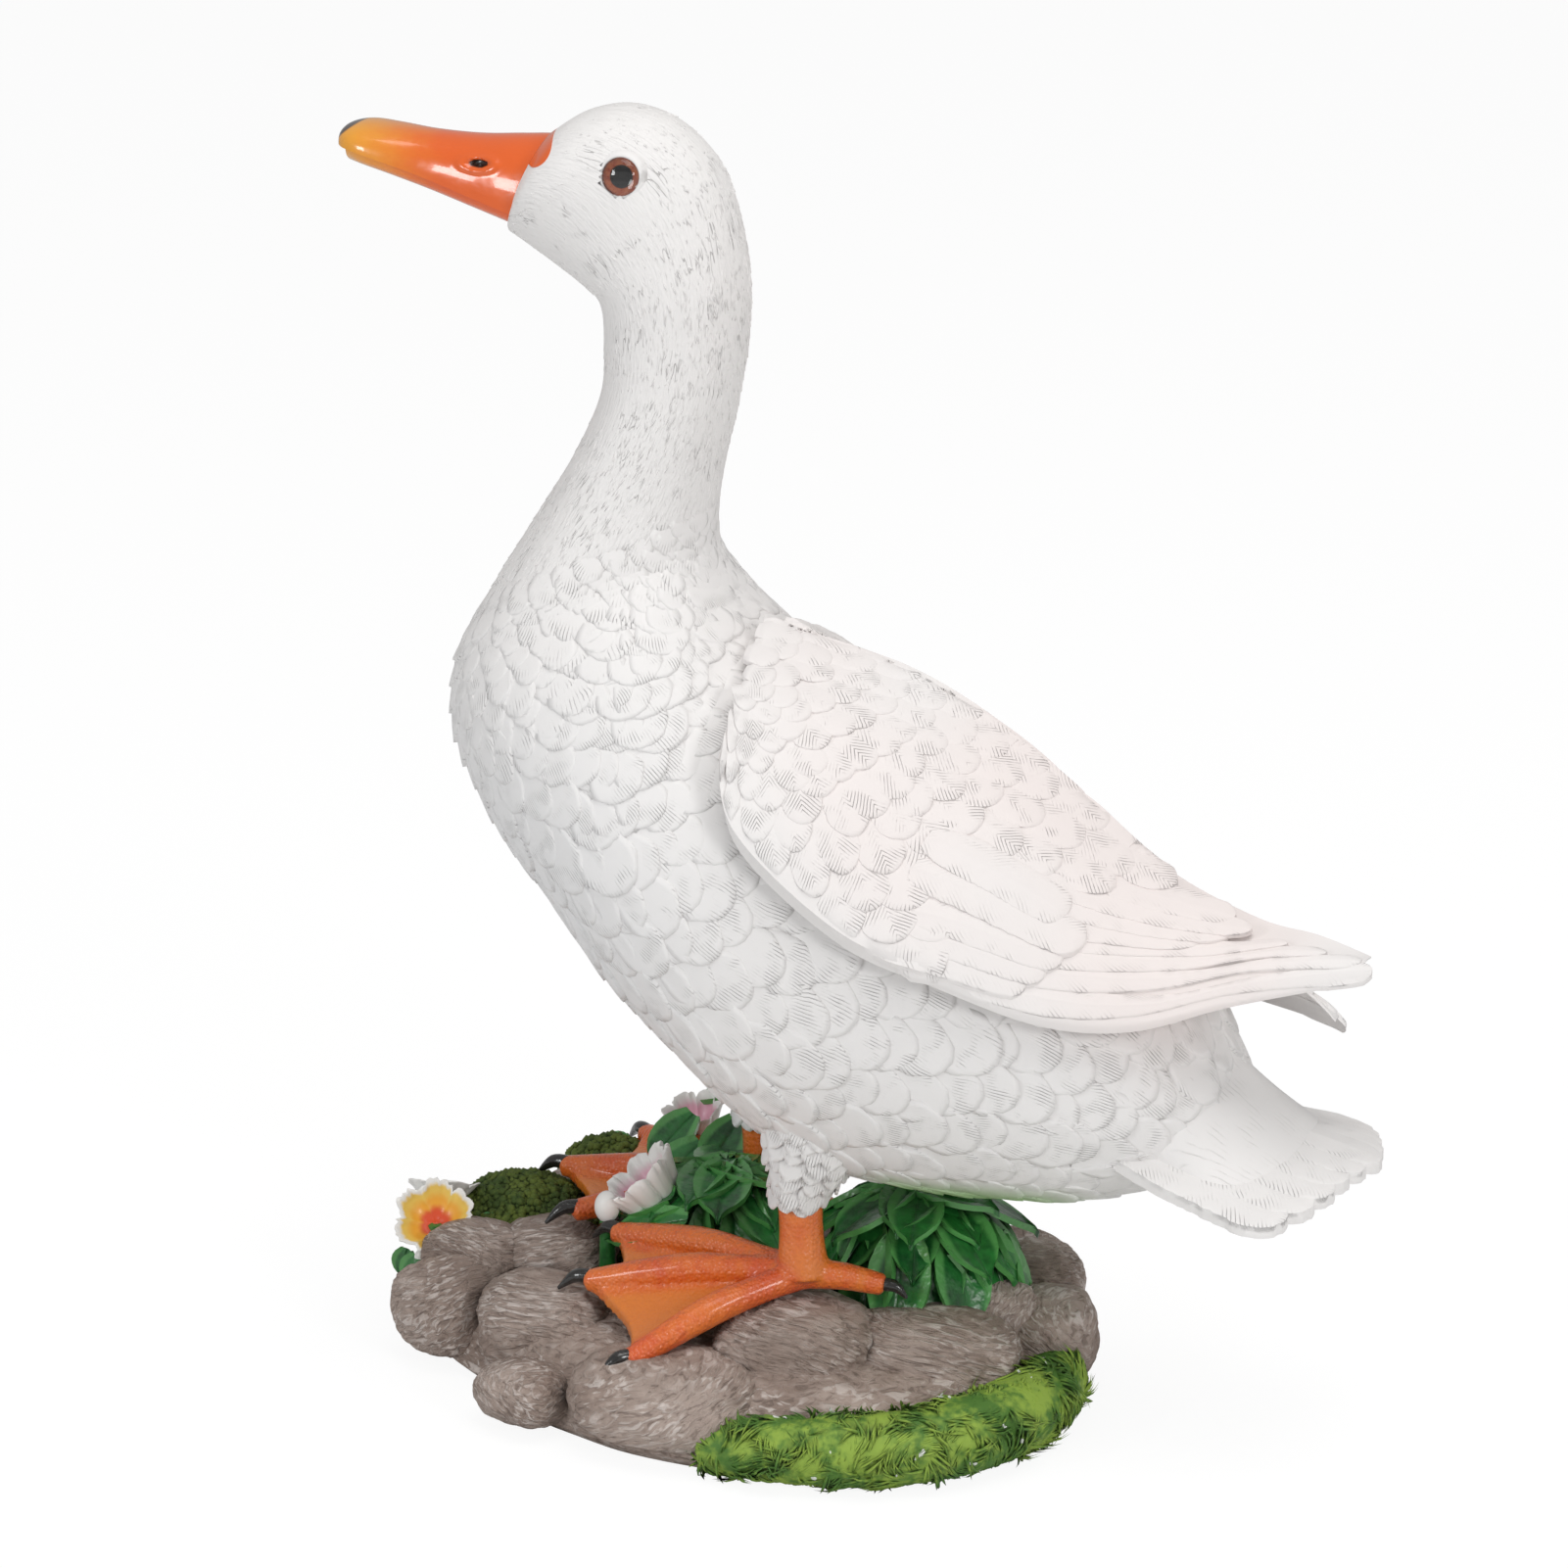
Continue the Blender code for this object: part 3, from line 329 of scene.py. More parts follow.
SECTIONS = [
    (*points, share * width / 2)
    for group, width in ((HEAD_SECTIONS, HEAD_WIDTH), (NECK_SECTIONS, NECK_WIDTH),
                         (TRUNK_SECTIONS, BODY_WIDTH))
    for *points, share in group
]
NECK_END = (len(HEAD_SECTIONS) + len(NECK_SECTIONS) - 1) / (len(SECTIONS) - 1)


def duck_point(around, along, lift=0.0):
    """A point of the duck's skin."""
    back_x, back_z, front_x, front_z, half_width = spline(SECTIONS, along)
    middle = Vector((back_x + front_x, 0.0, back_z + front_z)) / 2
    upright = Vector((back_x - front_x, 0.0, back_z - front_z)) / 2
    turn = 2 * pi * around
    fullness = 1.0 - BELLY_FULLNESS * cos(turn) * sin(turn) ** 2
    side = Vector((0.0, -half_width * fullness, 0.0))
    outward = upright.normalized() * cos(turn) * half_width
    outward += Vector((0, -1, 0)) * sin(turn) * upright.length
    return on_duck(*(middle + upright * cos(turn) + side * sin(turn) + outward.normalized() * lift))


def flat_to(way, facing):
    """A direction laid flat on the surface that faces a given way."""
    return (way - facing * way.dot(facing)).normalized()


def duck_frame(around, along):
    """A point of the skin, the way it faces and the way its feathers point."""
    step = 0.004
    ahead = duck_point(around, min(along + step, 1.0)) - duck_point(around, max(along - step, 0.0))
    across = duck_point(around + step, along) - duck_point(around - step, along)
    facing = across.cross(ahead).normalized()
    return duck_point(around, along), facing, flat_to(ahead, facing)


print("sections from face to rump:", len(SECTIONS), "neck ends at", round(NECK_END, 3))

# %% [markdown]
# Small helpers that every piece uses: one turns a bmesh into an object, one lofts rings of points, and one
# hands the finished piece over to the frame. A ring of a single point closes a form with a pole. Numbers
# stored at the points tell the paint where it is on a feather, a bill or a petal.

# %% Helpers for meshes
WHOLE = "duck_casting"


def to_object(name, shell, material=None, sharp=40.0):
    """A smooth-shaded object from a bmesh, its faces pointing outwards."""
    bmesh.ops.recalc_face_normals(shell, faces=shell.faces[:])
    mesh = bpy.data.meshes.new(name)
    shell.to_mesh(mesh)
    shell.free()
    mesh.shade_smooth()
    mesh.set_sharp_from_angle(angle=radians(sharp))
    if material:
        mesh.materials.append(material)
    return add_object(name, mesh)


def add_loft(shell, rings):
    """Add a closed skin through rings of equal length; a ring of one point is a pole."""
    rows = [[shell.verts.new(point) for point in ring] for ring in rings]
    for near, far in zip(rows, rows[1:]):
        count = max(len(near), len(far))
        for j in range(count):
            k = (j + 1) % count
            corners = [near[j % len(near)], near[k % len(near)], far[k % len(far)], far[j % len(far)]]
            shell.faces.new(list(dict.fromkeys(corners)))
    for row in (rows[0], rows[-1]):
        if len(row) > 1:
            shell.faces.new(row)


def add_strip(shell, near, far):
    """Add quads between two rows of points."""
    for j in range(len(near) - 1):
        shell.faces.new((near[j], near[j + 1], far[j + 1], far[j]))


def loft(name, rings, material=None, sharp=40.0):
    """A closed loft as an object of its own."""
    shell = bmesh.new()
    add_loft(shell, rings)
    return to_object(name, shell, material, sharp)


def ball(name, middle, radii, material=None, bumps=None):
    """An upright ellipsoid with its radii in millimetres; bumps is the place of a noise that dents it."""
    shell = bmesh.new()
    bmesh.ops.create_icosphere(shell, subdivisions=4, radius=1.0)
    for vert in shell.verts if bumps else ():
        vert.co *= 1.0 + 0.10 * noise.noise(vert.co * 3.0 + bumps)
    shell.transform(Matrix.Translation(middle) @ Matrix.Diagonal((*mm(*radii), 1.0)))
    return to_object(name, shell, material)


def store(mesh, name, values):
    """Store a number or a vector at each point of a mesh, for a material or a tree to read."""
    if isinstance(values[0], float):
        mesh.attributes.new(name, "FLOAT", "POINT").data.foreach_set("value", values)
    else:
        numbers = [number for value in values for number in value]
        mesh.attributes.new(name, "FLOAT_VECTOR", "POINT").data.foreach_set("vector", numbers)


def fill(made, **numbers):
    """Store the same number at every point of an object."""
    for name, number in numbers.items():
        store(made.data, name, [number] * len(made.data.vertices))


def make_plain(made):
    """Turn what an object's modifiers make into its own mesh."""
    bpy.context.view_layer.update()
    mesh = bpy.data.meshes.new_from_object(made.evaluated_get(bpy.context.evaluated_depsgraph_get()))
    made.modifiers.clear()
    made.data = mesh
    return made


def run_tree(made, tree, settings):
    """Run a Geometry Nodes tree on an object and keep the result as a plain mesh."""
    sockets = {item.name: item.identifier for item in tree.interface.items_tree if item.in_out == "INPUT"}
    step = made.modifiers.new("lay", "NODES")
    step.node_group = tree
    for title, value in settings.items():
        step[sockets[title]] = value
    return make_plain(made)


def hand_over(piece, node=WHOLE):
    """Let a finished piece ride with the casting and stand for one of its nodes."""
    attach(piece, "root")
    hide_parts(node)
    print(piece.name, "has", sum(len(face.vertices) - 2 for face in piece.data.polygons), "triangles")


print("mesh helpers are ready for", WHOLE)

# %% [markdown]
# Paint is built from three shader groups. "grooves" turns the strand number that each feather carries into
# fine cut lines, an occlusion group finds the narrow places between forms, where the materials paint shade,
# and "speckle" breaks up large areas. They give only masks, and every material mixes them in its own way.

# %% Shader groups and paint
def object_place(tree):
    return Value(tree, add_node(tree, "ShaderNodeTexCoord").outputs["Object"])


def attribute(tree, name, output="Fac"):
    return Value(tree, add_node(tree, "ShaderNodeAttribute", attribute_name=name).outputs[output])


def use_group(tree, group, **inputs):
    return Value(tree, add_node(tree, "ShaderNodeGroup", inputs, node_tree=group).outputs[0])


def build_grooves():
    """Fine lines along the strands: cuts that come and go, as a hand tool leaves them."""
    inputs = {"Wobble": "Float", "Sharpness": "Float"}
    group, given, end = new_tree("grooves", "ShaderNodeTree", inputs, "Cut", "Float")
    place = object_place(group)
    phase = (attribute(group, "strand") + place.noise(160.0, 1.0) * given["Wobble"]) * pi
    line = (1.0 - abs(phase.math("SINE"))) ** given["Sharpness"]
    put(group, end.inputs[0], line * place.noise(170.0, 3.0).ramp(0.43, 0.68))
    return group


def build_crevice_shade():
    """The narrow places where forms of one piece meet, found by short-range occlusion, for painted shade."""
    group, given, end = new_tree("crevice_shade", "ShaderNodeTree", {"Reach": "Float"}, "Mask", "Float")
    near = add_node(group, "ShaderNodeAmbientOcclusion", {"Distance": given["Reach"]}, samples=6,
                    only_local=True)
    clear = Value(group, near.outputs["AO"])
    put(group, end.inputs[0], clear.math("SUBTRACT", 1.0, clear, clamp=True))
    return group


def build_speckle():
    """Soft patches of two sizes between 0 and 1."""
    group, given, end = new_tree("speckle", "ShaderNodeTree", {"Scale": "Float"}, "Mask", "Float")
    place = object_place(group)
    both = place.noise(given["Scale"]) * 0.65 + place.noise(given["Scale"] * 6.0) * 0.35
    put(group, end.inputs[0], both)
    return group


GROOVES = build_grooves()
CREVICE_SHADE = build_crevice_shade()
SPECKLE = build_speckle()


class Paint:
    """A Principled material in the making."""

    def __init__(self, name, roughness, coat=0.0, coat_roughness=0.1, specular=0.5):
        self.material = bpy.data.materials.new(name)
        self.material.use_nodes = True
        self.tree = self.material.node_tree
        self.put("Roughness", roughness)
        self.put("Coat Weight", coat)
        self.put("Coat Roughness", coat_roughness)
        self.put("Specular IOR Level", specular)

    def put(self, title, value):
        put(self.tree, self.tree.nodes["Principled BSDF"].inputs[title], value)

    def place(self):
        return object_place(self.tree)

    def attribute(self, name, output="Fac"):
        return attribute(self.tree, name, output)

    def crevice_shade(self, reach):
        return use_group(self.tree, CREVICE_SHADE, Reach=reach)

    def speckle(self, scale):
        return use_group(self.tree, SPECKLE, Scale=scale)

    def finish(self, colour, height=None, depth=0.0):
        """Give the shader its colour and, as bump, a height between 0 and 1 times a depth in metres."""
        self.put("Base Color", colour)
        if height:
            bump = add_node(self.tree, "ShaderNodeBump", {
                "Distance": depth, "Strength": 1.0, "Height": height})
            self.put("Normal", bump.outputs["Normal"])
        return self.material


print("shader groups:", [group.name for group in (GROOVES, CREVICE_SHADE, SPECKLE)])

# %% [markdown]
# The duck's white is a matt, slightly warm paint. Grey painted shade lies in the cuts and between feathers,
# where short-range occlusion finds them. Painted warm light makes the back, wing tops and tail faintly
# pinker, and painted cool shade greys the lower breast. The lowest part of the belly, above the plants, is
# tinted green, and the orange of the bill runs back over the face in a lobe.

# %% Feather paint
FEATHER_ROUGHNESS = 0.58
FEATHER_WHITE = (0.80, 0.785, 0.775)
FEATHER_LIT_WARM = (0.81, 0.745, 0.725)
FEATHER_SHADE_COOL = (0.74, 0.755, 0.77)
CREVICE_SHADE_GREY = (0.40, 0.385, 0.37)
CREVICE_SHADE_REACH = 0.0011
BELLY_GREEN = (0.20, 0.46, 0.08)
BILL_ORANGE = (0.74, 0.115, 0.012)
# Middle and half size of the lobe, in metres on the shared frame
LOBE_X, LOBE_LENGTH = -0.0566, 0.0062
LOBE_Z, LOBE_HEIGHT = 0.3487, 0.0048


def feather_paint(name, cut_depth, cut_shade, hair, crevice_shade_share):
    """White paint; cut_depth is in metres, and hair swaps the strand lines for short strokes."""
    paint = Paint(name, FEATHER_ROUGHNESS, specular=0.3)
    place = paint.place()
    if hair:
        flow = paint.attribute("flow", "Vector")
        ridge = abs(flow.noise(700.0, 1.0) - 0.5)
        crack = (-ridge).ramp(-0.020, -0.004) * place.noise(120.0, 3.0).ramp(0.54, 0.66)
        strokes = flow.noise(1500.0)
        cut = crack.math("MAXIMUM", crack, strokes.ramp(0.56, 0.78) * 0.12)
        height = strokes * -1.3 - crack
    else:
        lines = use_group(paint.tree, GROOVES, Wobble=0.9, Sharpness=5.0)
        cut = lines * paint.attribute("tip").ramp(0.30, 0.75)
        height = 1.0 - cut
    x, _, z = place.parts()
    # Painted warm light: the back, wing tops and tail turn pinker up where the overhead lamp falls, in soft
    # patches.
    back = x.ramp(-0.02, 0.06) * place.noise(15.0, 0.0).ramp(0.25, 0.65)
    high = (z + x * 0.62).ramp(0.175, 0.215)
    colour = (back * high).mix(FEATHER_WHITE, FEATHER_LIT_WARM)
    # Painted cool shade on the lower breast.
    breast_shade = (-x).ramp(-0.03, 0.06) * (-z).ramp(-0.24, -0.12)
    colour = (breast_shade * 0.7).mix(colour, FEATHER_SHADE_COOL)
    # Painted shade: grey in the cut lines and in the narrow places between feathers, broken up by noise.
    broken = place.noise(230.0).ramp(0.34, 0.62) * 0.75 + 0.25
    crevice_shade = paint.crevice_shade(CREVICE_SHADE_REACH).ramp(0.30, 0.80) * crevice_shade_share * broken
    colour = crevice_shade.math("MAXIMUM", crevice_shade, cut * cut_shade).mix(colour, CREVICE_SHADE_GREY)
    # A green tint on the lowest part of the belly, above the plants.
    belly_low = (-z).ramp(-0.080, -0.067) * x.ramp(0.040, 0.055) * (-x).ramp(-0.115, -0.085)
    colour = (belly_low * 0.75).mix(colour, BELLY_GREEN)
    if hair:
        far = ((x - LOBE_X) / LOBE_LENGTH) ** 2.0 + ((z - LOBE_Z) / LOBE_HEIGHT) ** 2.0
        lobe = (-far).ramp(-1.05, -0.93)
        colour = lobe.mix(colour, BILL_ORANGE)
        paint.put("Roughness", FEATHER_ROUGHNESS - lobe * 0.32)
        paint.put("Coat Weight", lobe * 0.6)
        height = height * (1.0 - lobe)
    return paint.finish(colour, height + place.noise(900.0) * 0.12, cut_depth)


SCALE_PAINT = feather_paint("feather_white", 0.00032, 0.50, False, 0.52)
HAIR_PAINT = feather_paint("neck_white", 0.00030, 0.55, True, 0.3)
WING_PAINT = feather_paint("wing_white", 0.00034, 0.50, False, 0.38)
STROKE_PAINT = feather_paint("stroke_white", 0.0002, 0.2, False, 0.22)
print("paints:", [paint.name for paint in (SCALE_PAINT, HAIR_PAINT, WING_PAINT, STROKE_PAINT)])

# %% [markdown]
# The core of the duck is one smooth loft with a pole in the face and one under the tail. It shows only on
# the head and neck, where the real casting has short hair-like strokes instead of scales. The strokes are
# read from a "flow" place that is stretched along the neck, so they follow its bends without a seam.

# %% Core of head, neck and body
CORE_COLUMNS = 112
CORE_ROWS = 230
CORE_SINK = 0.4
FLOW_STRETCH = 0.17


def pole(along, shift):
    """The middle of the section at a share along, moved by a few millimetres."""
    return sum((duck_point(j / 8, along) for j in range(8)), Vector()) / 8 + mm(*shift)


def make_core():
    rings, flow = [[pole(0.0, (-2.0, 0.0, -1.0))]], [Vector()]
    run = 0.0
    before = duck_point(0.25, 0.0)
    for i in range(CORE_ROWS + 1):
        along = i / CORE_ROWS
        here = duck_point(0.25, along)
        run += (here - before).length
        before = here
        lift = 0.0 if along < NECK_END else -CORE_SINK
        rings.append([duck_point(j / CORE_COLUMNS, along, lift) for j in range(CORE_COLUMNS)])
        for j in range(CORE_COLUMNS):
            turn = 2 * pi * j / CORE_COLUMNS
            radius = NECK_WIDTH / 2 * MM
            flow.append(Vector((radius * cos(turn), radius * sin(turn), run * FLOW_STRETCH)))
    rings.append([pole(1.0, (1.0, 0.0, -1.0))])
    flow.append(Vector((0.0, 0.0, run * FLOW_STRETCH)))
    core = loft("body_core", rings, HAIR_PAINT)
    store(core.data, "flow", flow)
    return core


CORE = make_core()
print("the core has", len(CORE.data.polygons), "faces")

# %% [markdown]
# Scales, strokes and leaves all repeat one small shape at many places. One Geometry Nodes tree does it: it
# reads, at each point, the way the surface faces, the way the piece points and its size, turns and scales
# one instance with a little seeded chance, realizes the result and paints it.

# %% The tree that lays pieces like shingles
def end_tree(tree, given, end, points, turn, size, base=None):
    """Lay copies of the given shape on points, make them real, join them to the base and paint them."""
    shape = add_node(tree, "GeometryNodeObjectInfo", {"Object": given["Shape"]})
    laid = add_node(tree, "GeometryNodeInstanceOnPoints", {
        "Points": points, "Instance": shape.outputs["Geometry"], "Rotation": turn, "Scale": size})
    made = add_node(tree, "GeometryNodeRealizeInstances", {0: laid.outputs[0]})
    if base:
        made = add_node(tree, "GeometryNodeJoinGeometry", {0: made.outputs[0]})
        put(tree, made.inputs[0], base)
    painted = add_node(tree, "GeometryNodeSetMaterial", {
        "Geometry": made.outputs[0], "Material": given["Material"]})
    put(tree, end.inputs[0], painted.outputs[0])


def build_shingle_tree():
    tree, given, end = new_tree("lay_pieces", "GeometryNodeTree", {
        "Geometry": "Geometry", "Shape": "Object", "Material": "Material", "Tilt": "Float",
        "Tilt chance": "Float", "Turn chance": "Float", "Size chance": "Float", "Seed": "Int",
    }, "Geometry", "Geometry")

    def read(title):
        node = add_node(tree, "GeometryNodeInputNamedAttribute", data_type="FLOAT_VECTOR")
        put(tree, node.inputs["Name"], title)
        return node.outputs["Attribute"]

    def chance(title, offset):
        node = add_node(tree, "FunctionNodeRandomValue", {
            2: -given[title], 3: given[title], "Seed": given["Seed"] + offset}, data_type="FLOAT")
        return Value(tree, node.outputs[1])

    frame_turn = add_node(tree, "FunctionNodeAxesToRotation", {0: read("facing"), 1: read("ahead")},
                          primary_axis="Z", secondary_axis="Y")
    angles = add_node(tree, "ShaderNodeCombineXYZ", {
        0: given["Tilt"] + chance("Tilt chance", 11), 2: chance("Turn chance", 23)})
    local = add_node(tree, "FunctionNodeEulerToRotation", {0: angles.outputs[0]})
    turn = add_node(tree, "FunctionNodeRotateRotation", {0: frame_turn.outputs[0], 1: local.outputs[0]},
                    rotation_space="LOCAL")
    size = add_node(tree, "ShaderNodeVectorMath", {
        0: read("size"), "Scale": chance("Size chance", 37) + 1.0}, operation="SCALE")
    end_tree(tree, given, end, given["Geometry"], turn.outputs[0], size.outputs[0])
    return tree


SHINGLES = build_shingle_tree()


def grow(name, spots, shape, material, seed, tilt=0.0, tilt_chance=0.0, turn_chance=0.0, size_chance=0.0):
    """Lay a shape on every spot (place, facing, ahead, size in millimetres) and return a plain object."""
    points = bpy.data.meshes.new(name + "_points")
    places, facings, aheads, sizes = zip(*spots)
    points.from_pydata(places, [], [])
    store(points, "facing", facings)
    store(points, "ahead", aheads)
    store(points, "size", [mm(*size) for size in sizes])
    return run_tree(add_object(name, points), SHINGLES, {
        "Shape": shape, "Material": material, "Seed": seed, "Tilt": tilt, "Tilt chance": tilt_chance,
        "Turn chance": turn_chance, "Size chance": size_chance})


print("the tree has", len(SHINGLES.nodes), "nodes")

# %% [markdown]
# One feather, one unit wide and long: a blunt rounded tip, a low crown, a rim that rolls down and a skirt
# under it, so that the edge is solid when the feather stands off the body. Each point keeps its strand
# number, which spreads like a fan from the root, for the cut lines. A leaf is the same kind of shape.

# %% One feather shape
SCALE_OUTLINE = (0.36, 0.45, 0.50, 0.50, 0.44)


def make_unit_feather(name, columns, rows, outline, lag, crown, skirt, strands, droop=0.0, ragged=0.0,
                      roll=0.0):
    """outline lists half widths from root to tip; lag is how far the rim trails the middle at the tip."""
    shell = bmesh.new()
    strand, tip = [], []
    draw = random.Random(len(name))
    teeth = [draw.uniform(-ragged, ragged) for _ in range(columns + 1)]

    def point(i, j, drop=0.0):
        s, t = 2 * j / columns - 1, 1.0 - (1.0 - i / rows) ** 1.4
        y = t * (1.0 - lag * abs(s) ** 2.4 * t) + teeth[j] * t ** 6
        z = crown * (1.0 - s * s) - droop * t * t - roll * max(0.0, 5.0 * t - 4.0) ** 2 - drop
        strand.append(s * strands / (0.55 + 0.45 * t) * 0.5)
        tip.append(t)
        return shell.verts.new((s * value_at(outline, t), y, z))

    grid = [[point(i, j) for j in range(columns + 1)] for i in range(rows + 1)]
    for near, far in zip(grid, grid[1:]):
        add_strip(shell, near, far)
    rim = [(i, 0) for i in range(rows + 1)] + [(rows, j) for j in range(1, columns + 1)]
    rim += [(i, columns) for i in range(rows - 1, -1, -1)]
    add_strip(shell, [grid[i][j] for i, j in rim], [point(i, j, skirt) for i, j in rim])
    for face in shell.faces:
        face.smooth = True
    shell.normal_update()
    if grid[1][1].link_faces[0].normal.z < 0:
        bmesh.ops.reverse_faces(shell, faces=shell.faces[:])
    mesh = bpy.data.meshes.new(name)
    shell.to_mesh(mesh)
    shell.free()
    mesh.set_sharp_from_angle(angle=radians(42.0))
    store(mesh, "strand", strand)
    store(mesh, "tip", tip)
    return add_object(name, mesh)


SMALL_SCALE = make_unit_feather("small_scale", 6, 4, SCALE_OUTLINE, 0.34, 0.35, 1.5, 9.0,
                                ragged=0.03, roll=0.15)
LARGE_SCALE = make_unit_feather("large_scale", 10, 5, SCALE_OUTLINE, 0.32, 0.45, 1.8, 16.0,
                                ragged=0.025, roll=0.22)
print("a scale has", len(LARGE_SCALE.data.polygons), "faces")

# %% [markdown]
# The scales lie in rows round the body, each row half a feather out of step with the last. A row's pitch
# and its feathers' width grow from the base of the neck to the belly. Feathers that the wings, the legs or
# the base would hide are still laid, because the duck is looked at from all sides.

# %% Scales on the body
FIRST_SCALES = 0.455
SCALE_WIDTHS = (7.0, 9.0, 11.5, 13.5, 14.5, 14.5, 14.0, 13.0, 12.0)
SCALE_PITCH_SHARE = 0.62
SCALE_LENGTH_SHARE = 2.0
SCALE_TILT = 3.0
LARGE_FROM = 11.0


def body_rows():
    """The along values of the rows, with the width of the scales in each."""
    rows = []
    along = FIRST_SCALES
    travelled = 0.0
    step = 0.0015
    while along < 0.995:
        width = value_at(SCALE_WIDTHS, (along - FIRST_SCALES) / (1.0 - FIRST_SCALES))
        travelled += (duck_point(0.3, along + step) - duck_point(0.3, along)).length / MM
        along += step
        if travelled >= width * SCALE_PITCH_SHARE:
            travelled = 0.0
            rows.append((along, width))
    return rows


def even_turns(along, count, shift):
    """Shares around the body that split a row into equal lengths, and the row's whole length."""
    samples = 90
    lengths = [0.0]
    for k in range(samples):
        piece = duck_point((k + 1) / samples, along) - duck_point(k / samples, along)
        lengths.append(lengths[-1] + piece.length)
    shares = []
    k = 0
    for i in range(count):
        wanted = lengths[-1] * ((i + shift) % count) / count
        while k < samples - 1 and lengths[k + 1] < wanted:
            k += 1
        shares.append((k + (wanted - lengths[k]) / (lengths[k + 1] - lengths[k])) / samples)
    return shares, lengths[-1] / MM


def body_spots():
    draw = random.Random(3)
    small, large = [], []
    rows = body_rows()
    for number, (along, width) in enumerate(rows):
        girth = even_turns(along, 4, 0.0)[1]
        count = max(8, round(girth / width))
        pitch = rows[min(number + 1, len(rows) - 1)][0] - along or along - rows[number - 1][0]
        for around in even_turns(along, count, 0.5 * (number % 2))[0]:
            around += draw.uniform(-0.12, 0.12) / count
            here = min(along + draw.uniform(-0.12, 0.12) * pitch, 1.0)
            place, facing, ahead = duck_frame(around, here)
            spacing = (duck_point(around, min(here + pitch, 1.0)) - place).length / MM
            length = SCALE_LENGTH_SHARE * max(spacing, 0.45 * width)
            start = place - facing * 0.35 * MM - ahead * 0.45 * length * MM
            rise = 0.6 + 0.4 * min(1.0, width / 14.0)
            spot = (start, facing, ahead, (width * 1.22, length, rise))
            (small if width < LARGE_FROM else large).append(spot)
    return small, large


small_spots, large_spots = body_spots()
for name, spots, shape, seed in (("neck_base_scales", small_spots, SMALL_SCALE, 5),
                                 ("body_scales", large_spots, LARGE_SCALE, 6)):
    scales = grow(name, spots, shape, SCALE_PAINT, seed, radians(SCALE_TILT), 0.014, 0.14, 0.12)
    hand_over(scales)

# %% [markdown]
# Above the scales the neck and the back of the head are covered with short pointed strokes. They are the
# same kind of piece, only narrow and low, scattered evenly along the neck. They keep clear of the eyes and
# of the bill's lobe, and are shorter on the face.

# %% Strokes on neck and head
STROKE_OUTLINE = (0.22, 0.44, 0.50, 0.36, 0.12)
STROKE = make_unit_feather("stroke", 2, 3, STROKE_OUTLINE, 0.10, 0.30, 0.7, 2.0)
STROKES = 7000
EYE_CLEARANCE = 9.5


def stroke_spots():
    draw = random.Random(8)
    eyes = [on_duck(EYE_X, side * HEAD_WIDTH / 2, EYE_HEIGHT) for side in SIDES]
    spots = []
    while len(spots) < STROKES:
        around = draw.random()
        along = draw.uniform(0.05, FIRST_SCALES + 0.03)
        place, facing, ahead = duck_frame(around, along)
        if min((place - eye).length for eye in eyes) < EYE_CLEARANCE * MM:
            continue
        if place.x < LOBE_X + 1.3 * LOBE_LENGTH and place.z > LOBE_Z - 1.2 * LOBE_HEIGHT:
            continue
        if draw.random() > spline(SECTIONS, along)[4] / (0.8 * NECK_WIDTH):
            continue
        face = min(1.0, max(0.0, (along - 0.05) / 0.2))
        side = Vector(ahead).cross(facing) * draw.uniform(-0.3, 0.3)
        length = 2.0 + 2.6 * face + draw.uniform(-0.6, 1.0)
        width = 0.9 + draw.uniform(0.0, 0.5)
        start = place - facing * (0.30 + 0.1 * draw.random()) * MM
        spots.append((start, facing, (ahead + side).normalized(), (width, length, 0.3 + 0.3 * face)))
    return spots


strokes = grow("neck_strokes", stroke_spots(), STROKE, STROKE_PAINT, 9, radians(3.4), 0.02, 0.10, 0.1)
hand_over(strokes)

# %% [markdown]
# A folded wing is a shield laid over the side. Its surface is given by an upper and a lower edge and a
# bulge between them, and again every place has two shares: across, from the upper edge down, and along,
# from the shoulder to the tip. The right wing hangs lower than the left one.

# %% The form of a wing
# (x, height, share of half the body width)
WING_UPPER = (
    (10.0, 184.5, 0.10),
    (50.0, 172.5, 0.06),
    (78.0, 157.5, 0.05),
    (99.0, 142.0, 0.05),
    (123.0, 124.0, 0.06),
    (148.0, 113.5, 0.07),
    (165.0, 110.5, 0.07),
    (181.0, 105.0, 0.05),
)
WING_LOWER = (
    (13.0, 160.0, 0.93),
    (20.0, 140.0, 1.02),
    (49.0, 117.0, 1.06),
    (76.0, 106.0, 1.01),
    (102.0, 95.0, 0.86),
    (124.0, 92.0, 0.68),
    (148.0, 97.0, 0.46),
    (183.0, 102.0, 0.15),
)
WING_BULGE = 11.0
SHOULDER_BULGE = 3.0
WING_THICKNESS = 8.0
WING_TIP_THICKNESS = 2.5
WING_BULGE_LOWNESS = 1.25
RIGHT_WING_DROOP = 25.0
RIGHT_WING_SAG = 9.0
WING_LIFT = 1.0
MANTLE_PAD = 2.0


def mantle_pad(across, along):
    """How much the coverts along the back are raised over the long feathers under them."""
    return MANTLE_PAD * smooth(along, 0.10, 0.42) * (1.0 - smooth(across, 0.32, 0.62))


